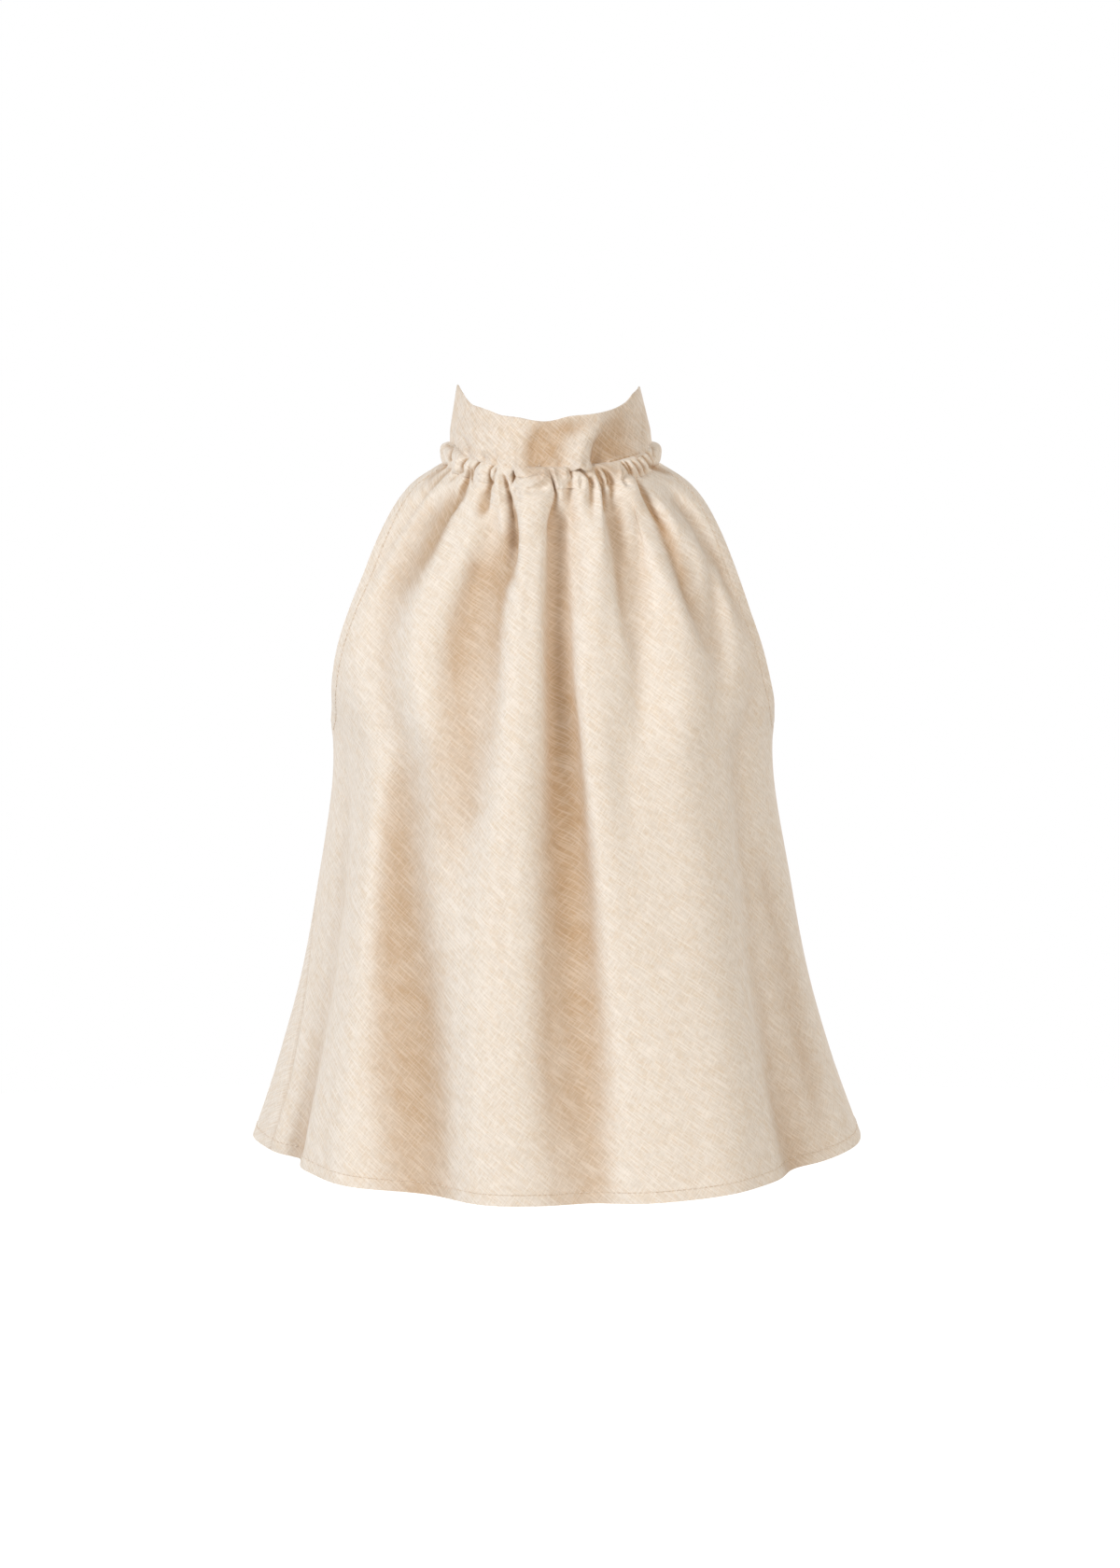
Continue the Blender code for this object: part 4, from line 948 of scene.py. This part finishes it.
def make_mesh(name, points, quads, uv, shade, material):
    """A mesh object from arrays, with its cloth coordinates and the painted shade of its troughs."""
    mesh = bpy.data.meshes.new(name)
    mesh.vertices.add(len(points))
    mesh.vertices.foreach_set("co", points.astype(np.float32).ravel())
    mesh.loops.add(quads.size)
    mesh.loops.foreach_set("vertex_index", quads.astype(np.int32).ravel())
    mesh.polygons.add(len(quads))
    mesh.polygons.foreach_set("loop_start", np.arange(0, quads.size, 4, dtype=np.int32))
    mesh.update(calc_edges=True)
    layer = mesh.uv_layers.new(name="cloth")
    layer.uv.foreach_set("vector", uv[quads.ravel()].astype(np.float32).ravel())
    # The trough attribute holds the painted shade, 0 to 1.
    troughs = mesh.attributes.new("trough", "FLOAT", "POINT")
    troughs.data.foreach_set("value", shade.astype(np.float32))
    mesh.materials.append(material)
    mesh.validate()
    mesh.shade_smooth()
    mesh.set_sharp_from_angle(angle=SHARP_EDGE)
    return add_object(name, mesh)


def panel_piece(part, columns, material):
    """Front or back as a closed thin shell, thicker at its turned hems."""
    points, normals, cloth, hem, shade = panel_surface(part, columns)
    rows, across = points.shape[:2]
    thick = CLOTH + HEM_EXTRA * (1.0 - rise_over(hem, HEM_WIDE, HEM_INSIDE_SOFT))
    inner = points - normals * thick[..., None]
    shift = rows * across
    outer_quads = grid_quads(rows, across, False)
    numbers = np.arange(shift).reshape(rows, across)
    # Each rim joins the outer face's edge to the inner face's, in the order that turns it outwards.
    edges = (numbers[0], numbers[-1, ::-1], numbers[::-1, 0], numbers[:, -1])
    rims = [np.stack((edge[:-1], edge[1:], edge[1:] + shift, edge[:-1] + shift), axis=-1) for edge in edges]
    quads = np.concatenate([outer_quads, outer_quads[:, ::-1] + shift] + rims)
    if part == "back":
        quads = quads[:, ::-1]
    all_points = np.concatenate((points.reshape(-1, 3), inner.reshape(-1, 3)))
    uv = np.tile(cloth.reshape(-1, 2), (2, 1))
    piece = make_mesh(part, all_points, quads, uv, np.tile(shade.reshape(-1), 2), material)
    return piece, stitch_lines(points, normals, hem)


def ring_piece(name, angle, rings, shade, material):
    """A closed band: rows of points round the neck, the last row joined to the first."""
    rows, columns = rings.shape[:2]
    quads = grid_quads(rows + 1, columns, True) % (rows * columns)
    uv = np.stack(np.broadcast_arrays(np.radians(angle) * NECK_RADIUS, rings[..., 2]), axis=-1)
    return make_mesh(name, rings.reshape(-1, 3), quads, uv.reshape(-1, 2), shade.reshape(-1), material)


def neck_angles(columns):
    """Angles all round the neck, in one row."""
    return np.linspace(-180.0, 180.0, columns, endpoint=False)[None, :]


def casing_edge_z(angle, height):
    """Height of a line along the casing, height above its lower edge."""
    dip = by_half(angle, CASING_FRONT_DIP, CASING_BACK_DIP)
    return CASING_SIDE_Z - dip * towards_middle(angle) + height


def casing_piece(material):
    """Gathered tunnel round the neck, whose gathers run on into the panels."""
    angle = neck_angles(CASING_COLUMNS)
    rise = np.linspace(1.0, 0.0, CASING_ROWS)[:, None]
    depth = by_half(angle, COLLAR_FOOT_FRONT, COLLAR_FOOT_BACK)
    wide_out = COLLAR_FOOT_WIDE + curve_through(CASING_RISES, CASING_OUT_SIDE, rise) * MM
    deep_out = depth + curve_through(CASING_RISES, CASING_OUT_FRONT, rise) * MM
    z = casing_edge_z(angle, rise * (CASING_HEIGHT + CASING_SEAM) - CASING_SEAM)
    base = oval(angle, wide_out, deep_out, z)
    down = -rise * CASING_HEIGHT / MM + 0.0 * angle
    height = gathers_height(base, angle, down)
    swell = (height + seam_swell(angle, down))[..., None]
    outer = base + level_outward(angle, wide_out, deep_out) * swell
    # The inner wall follows the collar's hollows, so that no gap opens behind them.
    foot = oval(angle, COLLAR_FOOT_WIDE, depth, round_table(COLLAR_FOOT, angle))
    hollow = np.minimum(creases_height(COLLAR_CREASES, *picture_place(foot)), 0.0) * front_share(angle)
    inner = oval(angle, COLLAR_FOOT_WIDE - CASING_INSIDE, depth - CASING_INSIDE, z[::-1])
    inward = level_outward(angle, COLLAR_FOOT_WIDE, depth)
    inner = inner + inward * (hollow * smooth_step(rise[::-1]))[..., None]
    # Painted shade of the gathers' troughs and painted shadow under the collar's overhang; none on the
    # inner face.
    shade = shade_under_collar(trough_shade(0.0 * height, 0.0 * height, height), base, angle)
    shade = np.concatenate((shade, 0.0 * height))
    return ring_piece("casing", angle, np.concatenate((outer, inner)), shade, material)


def collar_piece(material):
    """The standing collar, doubled, open at the top."""
    angle = neck_angles(COLLAR_COLUMNS)
    rise = np.linspace(1.0, 0.0, COLLAR_ROWS)[:, None]
    top = round_table(COLLAR_TOP, angle)
    foot = round_table(COLLAR_FOOT, angle)
    z = foot + (top - foot) * rise
    cad_foot = casing_edge_z(angle, CASING_HEIGHT)
    share = np.clip((z - cad_foot) / (top - cad_foot), COLLAR_BELOW, 1.0)
    foot_deep = by_half(angle, COLLAR_FOOT_FRONT, COLLAR_FOOT_BACK)
    top_deep = by_half(angle, COLLAR_TOP_FRONT, COLLAR_TOP_BACK)
    out = round_table(COLLAR_FLARE, angle) * (1.0 - rise_over(z, foot, COLLAR_FLARE_HEIGHT))
    wide = COLLAR_FOOT_WIDE + (COLLAR_TOP_WIDE - COLLAR_FOOT_WIDE) * share + out
    outer = oval(angle, wide, foot_deep + (top_deep - foot_deep) * share + out, z)
    outer[..., 0] += COLLAR_LEAN * share
    height = creases_height(COLLAR_CREASES, *picture_place(outer)) * front_share(angle)
    outer = outer + outward_normals(outer, closed=True) * height[..., None]
    normals = outward_normals(outer, closed=True) * COLLAR_CLOTH
    rim = np.array((0.0, 0.0, COLLAR_RIM * COLLAR_CLOTH))
    rim_top = outer[:1] - 0.5 * normals[:1] + rim
    rim_foot = outer[-1:] - 0.5 * normals[-1:] - rim
    rings = np.concatenate((outer, rim_foot, (outer - normals)[::-1], rim_top))
    shade = np.zeros(rings.shape[:2])
    # Painted shade of the collar's hollows, on its outer face only.
    shade[:COLLAR_ROWS] = trough_shade(0.0 * height, COLLAR_SHADE * height, 0.0 * height)
    return ring_piece("collar_band", angle, rings, shade, material)


# ---- stitches ------------------------------------------------------------------------------
def crossing(points, normals, distance):
    """Point and normal where the distance from the edge first reaches the line of stitches."""
    past = np.flatnonzero(distance >= STITCH_FROM_EDGE)
    if len(past) == 0 or past[0] == 0:
        return None
    i = past[0]
    t = (STITCH_FROM_EDGE - distance[i - 1]) / (distance[i] - distance[i - 1])
    both = np.concatenate((points, normals), axis=-1)
    return both[i - 1] + (both[i] - both[i - 1]) * t


def stitch_lines(points, normals, hem):
    """The lines of stitches of one panel: along its bottom hem and both armholes."""
    rows, columns = hem.shape
    bottom = [crossing(points[::-1, c], normals[::-1, c], hem[::-1, c]) for c in range(columns)]
    upper = range(ARMHOLE_ROWS[0], int(rows * ARMHOLE_ROWS[1]))
    left = [crossing(points[r], normals[r], hem[r]) for r in upper]
    right = [crossing(points[r, ::-1], normals[r, ::-1], hem[r, ::-1]) for r in upper]
    lines = []
    for found in (bottom, left, right):
        kept = [place for place in found if place is not None]
        if len(kept) > 2:
            lines.append(np.array(kept))
    return lines


def one_stitch():
    """Points and faces of one stitch along X, its ends sunk into the cloth."""
    bpy.ops.object.select_all(action="DESELECT")
    bpy.ops.mesh.primitive_cylinder_add(vertices=6, radius=STITCH_RADIUS, depth=STITCH_LENGTH,
                                        end_fill_type="NGON")
    stitch = bpy.context.object
    bpy.ops.object.mode_set(mode="EDIT")
    bpy.ops.mesh.select_all(action="SELECT")
    bpy.ops.transform.rotate(value=math.radians(90.0), orient_axis="Y", center_override=(0.0, 0.0, 0.0))
    for bend in (STITCH_BEND, -STITCH_BEND):
        bpy.ops.mesh.bisect(plane_co=(STITCH_LENGTH * bend, 0.0, 0.0), plane_no=(1.0, 0.0, 0.0))
        bpy.ops.mesh.select_all(action="SELECT")
    bpy.ops.mesh.normals_make_consistent(inside=False)
    bpy.ops.object.mode_set(mode="OBJECT")
    points = np.array([corner.co[:] for corner in stitch.data.vertices])
    faces = [list(face.vertices) for face in stitch.data.polygons]
    bpy.data.objects.remove(stitch)
    ends = np.abs(points[:, 0]) > STITCH_LENGTH * (STITCH_BEND + 0.1)
    points[ends, 2] -= STITCH_SINK
    points[ends, 1] *= STITCH_END_WIDE
    return points, faces


def stitches_piece(lines, material):
    """All stitches of the hems as one joined mesh."""
    stitch, faces = one_stitch()
    half = STITCH_LENGTH * 0.5
    all_points = []
    for line in lines:
        lengths = line_lengths(line[:, :3])
        at = np.arange(STITCH_PITCH * 0.5, lengths[-1], STITCH_PITCH)
        place = places_along(at, lengths, line)
        ahead = places_along(at + half, lengths, line[:, :3])
        along = unit(ahead - places_along(at - half, lengths, line[:, :3]))
        up = unit(place[:, 3:] - (place[:, 3:] * along).sum(-1, keepdims=True) * along)
        centre = place[:, :3] + up * STITCH_RADIUS * STITCH_PROUD
        turned_stitch = np.stack((along, np.cross(up, along), up), axis=1)
        all_points.append(centre[:, None] + stitch @ turned_stitch)
    copies = np.concatenate(all_points)
    mesh = bpy.data.meshes.new("stitches")
    starts = range(0, len(copies) * len(stitch), len(stitch))
    all_faces = [[corner + start for corner in face] for start in starts for face in faces]
    mesh.from_pydata(copies.reshape(-1, 3).tolist(), [], all_faces)
    mesh.materials.append(material)
    mesh.shade_smooth()
    return add_object("stitches", mesh)


# ---- linen ---------------------------------------------------------------------------------
def add_node(tree, kind, **values):
    """One shader node with its settings."""
    node = tree.nodes.new(kind)
    for name, value in values.items():
        setattr(node, name, value)
    return node


def set_inputs(node, values):
    """Set a node's inputs by name."""
    for name, value in values.items():
        node.inputs[name].default_value = value


def link(tree, source, target):
    """Join an output to an input, or set the input's value."""
    if hasattr(source, "is_output"):
        tree.links.new(source, target)
    else:
        target.default_value = source


def maths(tree, operation, *values):
    """Result of a Math node."""
    node = add_node(tree, "ShaderNodeMath", operation=operation)
    for value, target in zip(values, node.inputs):
        link(tree, value, target)
    return node.outputs[0]


def vector_maths(tree, operation, first, name, second):
    """Result of a Vector Math node with a second input by its name or number."""
    node = add_node(tree, "ShaderNodeVectorMath", operation=operation)
    link(tree, first, node.inputs[0])
    link(tree, second, node.inputs[name])
    return node.outputs[0]


def weighted(tree, values, start_and_weights):
    """A start and a sum of values, each times its weight."""
    total, weights = start_and_weights
    for name, weight in weights.items():
        total = maths(tree, "MULTIPLY_ADD", values[name], weight, total)
    return total


def streaks(tree, along, across, length, width, detail):
    """Noise drawn out into threads of a length and width in metres, about 0 to 1."""
    place = add_node(tree, "ShaderNodeCombineXYZ")
    link(tree, maths(tree, "DIVIDE", along, length), place.inputs[0])
    link(tree, maths(tree, "DIVIDE", across, width), place.inputs[1])
    noise = add_node(tree, "ShaderNodeTexNoise", noise_dimensions="2D")
    link(tree, place.outputs[0], noise.inputs["Vector"])
    set_inputs(noise, {"Scale": 1.0, "Detail": detail, "Roughness": STREAK_ROUGHNESS})
    return noise.outputs[0]


def turned(tree, vector, degrees):
    """Along and across coordinates of cloth coordinates turned by an angle."""
    mapping = add_node(tree, "ShaderNodeMapping")
    link(tree, vector, mapping.inputs["Vector"])
    set_inputs(mapping, {"Rotation": (0.0, 0.0, math.radians(degrees))})
    parts = add_node(tree, "ShaderNodeSeparateXYZ")
    link(tree, mapping.outputs[0], parts.inputs[0])
    return parts.outputs[0], parts.outputs[1]


def ramp(tree, value, low, high):
    """A value mapped softly from a range to 0 to 1."""
    node = add_node(tree, "ShaderNodeMapRange", interpolation_type="SMOOTHSTEP")
    link(tree, value, node.inputs["Value"])
    set_inputs(node, {"From Min": low, "From Max": high})
    return node.outputs["Result"]


def mixed(tree, share, first, second):
    """Two colours mixed by a share."""
    node = add_node(tree, "ShaderNodeMix", data_type="RGBA")
    link(tree, share, node.inputs["Factor"])
    link(tree, first, node.inputs[6])
    link(tree, second, node.inputs[7])
    return node.outputs[2]


def linen_weave_group():
    """Linen threads, slubs and mottling, mixed with the painted shade of the troughs, as a colour, a
    roughness and a height.
    """
    group = bpy.data.node_groups.new("linen weave", "ShaderNodeTree")
    for side, kind, names in (("INPUT", "Vector", ("Cloth",)), ("INPUT", "Color", ("Light", "Shade Colour")),
                              ("INPUT", "Float", ("Trough", "Contrast")), ("OUTPUT", "Color", ("Color",)),
                              ("OUTPUT", "Float", ("Roughness", "Height"))):
        for name in names:
            group.interface.new_socket(name, in_out=side, socket_type="NodeSocket" + kind)
    inside = add_node(group, "NodeGroupInput").outputs
    outside = add_node(group, "NodeGroupOutput").inputs
    ways = {way: turned(group, inside["Cloth"], turn) for way, turn in WAYS.items()}
    shows = {}
    for name, (way, length, width, detail, kept) in STREAKS.items():
        shows[name] = streaks(group, *ways[way], length * MM, width * MM, detail)
        if kept:
            shows[name] = ramp(group, shows[name], *kept)

    # Threads that show pale, about 0 to 1, and the fine grain of all threads, about -1 to 1.
    cross = maths(group, "MULTIPLY", shows["cross slubs"], CROSS_SLUBS_PALE)
    shows["pale"] = maths(group, "MAXIMUM", shows["slubs"], cross)
    shows["threads"] = weighted(group, shows, THREADS)
    shows["grain"] = maths(group, "MULTIPLY", shows["threads"], inside["Contrast"])

    # The ground between the pale threads is warm and mottled.
    warmth = weighted(group, shows, WARMTH)
    warmth.node.use_clamp = True
    warmth = maths(group, "MULTIPLY", warmth, inside["Contrast"])
    tint = mixed(group, warmth, (*WHITE, 1.0), (*FLECK_TINT, 1.0))

    # Painted shade: troughs are darker and warmer, with ragged sides where the linen is uneven.
    share = maths(group, "MULTIPLY", inside["Trough"], weighted(group, shows, RAGGED))
    share.node.use_clamp = True
    colour = mixed(group, share, inside["Light"], inside["Shade Colour"])
    colour = vector_maths(group, "MULTIPLY", colour, 1, tint)
    colour = vector_maths(group, "SCALE", colour, "Scale", weighted(group, shows, GAIN))
    link(group, colour, outside["Color"])
    link(group, weighted(group, shows, ROUGHNESS), outside["Roughness"])
    link(group, weighted(group, shows, BUMP_HEIGHT), outside["Height"])
    return group


def new_material(name, values):
    """A material, its node tree and its shader with inputs set by name."""
    material = bpy.data.materials.new(name)
    material.use_nodes = True
    shader = material.node_tree.nodes["Principled BSDF"]
    set_inputs(shader, values)
    return material, material.node_tree, shader


def linen_material(name, weave, light=LINEN_LIGHT, contrast=1.0):
    """Natural linen: threads on the bias, painted warm shade in the troughs and a soft nap."""
    material, tree, shader = new_material(name, LINEN_GLOSS)
    coordinates = add_node(tree, "ShaderNodeUVMap", uv_map="cloth")
    # The painted shade of the troughs, from the mesh.
    troughs = add_node(tree, "ShaderNodeAttribute", attribute_name="trough")
    group = add_node(tree, "ShaderNodeGroup", node_tree=weave)
    set_inputs(group, {"Light": (*light, 1.0), "Shade Colour": (*LINEN_SHADE_COLOUR, 1.0), "Contrast": contrast})
    bump = add_node(tree, "ShaderNodeBump")
    set_inputs(bump, LINEN_BUMP)
    link(tree, coordinates.outputs["UV"], group.inputs["Cloth"])
    link(tree, troughs.outputs["Fac"], group.inputs["Trough"])
    link(tree, group.outputs["Color"], shader.inputs["Base Color"])
    link(tree, group.outputs["Roughness"], shader.inputs["Roughness"])
    link(tree, group.outputs["Height"], bump.inputs["Height"])
    link(tree, bump.outputs["Normal"], shader.inputs["Normal"])
    return material


def thread_material():
    """Sewing thread: twisted strands, a little darker than the linen."""
    material, tree, shader = new_material("sewing thread", {"Specular IOR Level": 0.2})
    place = add_node(tree, "ShaderNodeTexCoord")
    twist = add_node(tree, "ShaderNodeTexNoise")
    link(tree, place.outputs["Object"], twist.inputs["Vector"])
    set_inputs(twist, {"Scale": THREAD_TWIST})
    share = ramp(tree, twist.outputs[0], *THREAD_STRANDS)
    colour = mixed(tree, share, (*THREAD_COLOUR, 1.0), (*LINEN_LIGHT, 1.0))
    link(tree, colour, shader.inputs["Base Color"])
    link(tree, weighted(tree, {"strands": share}, THREAD_ROUGHNESS), shader.inputs["Roughness"])
    return material


# ---- surroundings --------------------------------------------------------------------------
def make_camera():
    """The camera at the photograph's viewing angle."""
    data = bpy.data.cameras.new("camera")
    data.lens = FOCAL_LENGTH
    data.sensor_width = SENSOR
    data.clip_end = CAMERA_FAR
    camera = add_object("camera", data)
    camera.location = CAMERA_PLACE
    ahead = np.array(CAMERA_AIM) - np.array(CAMERA_PLACE)
    tilt = math.atan2(ahead[2], ahead[1])
    camera.rotation_euler = (math.radians(90.0) + tilt, 0.0, 0.0)
    bpy.context.scene.camera = camera


def make_lights():
    """Square soft lights that face the top."""
    for row in LIGHTS:
        data = bpy.data.lights.new(row.name, "AREA")
        data.shape = "SQUARE"
        data.size = row.size
        data.energy = row.power
        data.color = row.colour
        light = add_object(row.name, data)
        light.location = row.place
        aim = Vector(LIGHTS_AIM) - Vector(row.place)
        light.rotation_euler = aim.to_track_quat("-Z", "Y").to_euler()


def camera_ray(tree):
    """1 for the camera's own rays and 0 for all others."""
    return add_node(tree, "ShaderNodeLightPath").outputs["Is Camera Ray"]


def glow(tree, ray, others, camera):
    """How strongly the background or floor shines, for the camera and for all other rays."""
    mix = add_node(tree, "ShaderNodeMix")
    link(tree, ray, mix.inputs["Factor"])
    set_inputs(mix, {"A": others, "B": camera})
    return mix.outputs["Result"]


def make_floor():
    """Round pale floor, which is plain and nearly white."""
    bpy.ops.object.select_all(action="DESELECT")
    bpy.ops.mesh.primitive_circle_add(vertices=96, radius=FLOOR_RADIUS, fill_type="NGON",
                                      location=(0.0, 0.0, FLOOR_Z))
    floor = bpy.context.object
    floor.name = "floor"
    material, tree, shader = new_material("pale floor", {
        "Base Color": (*FLOOR_COLOUR, 1.0), "Roughness": 0.9, "Specular IOR Level": 0.0,
        "Emission Color": (*WHITE, 1.0)})
    link(tree, glow(tree, camera_ray(tree), 0.0, FLOOR_GLOW), shader.inputs["Emission Strength"])
    floor.data.materials.append(material)


def make_surroundings():
    """Pale background."""
    scene = bpy.context.scene
    scene.view_settings.view_transform = "Standard"
    scene.world = bpy.data.worlds.new("pale studio")
    scene.world.use_nodes = True
    tree = scene.world.node_tree
    background = tree.nodes["Background"]
    ray = camera_ray(tree)
    link(tree, glow(tree, ray, ROOM_GLOW, 1.0), background.inputs["Strength"])
    link(tree, mixed(tree, ray, (*ROOM_COLOUR, 1.0), (*WHITE, 1.0)), background.inputs["Color"])


make_camera()
make_surroundings()
make_lights()
make_floor()
weave = linen_weave_group()
front, front_lines = panel_piece("front", FRONT_COLUMNS, linen_material("front linen", weave))
back, back_lines = panel_piece("back", BACK_COLUMNS, linen_material("back linen", weave))
stitches = stitches_piece(front_lines + back_lines, thread_material())
casing = casing_piece(linen_material("casing linen", weave))
collar = collar_piece(linen_material("collar linen", weave, COLLAR_SHADED_COLOUR, COLLAR_CONTRAST))
stands_for = ((front, "front_panel"), (back, "back_panel"), (casing, "neck_casing"), (collar, "collar"))
for piece, node in stands_for:
    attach(piece, "root")
    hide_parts(node)
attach(stitches, "root")
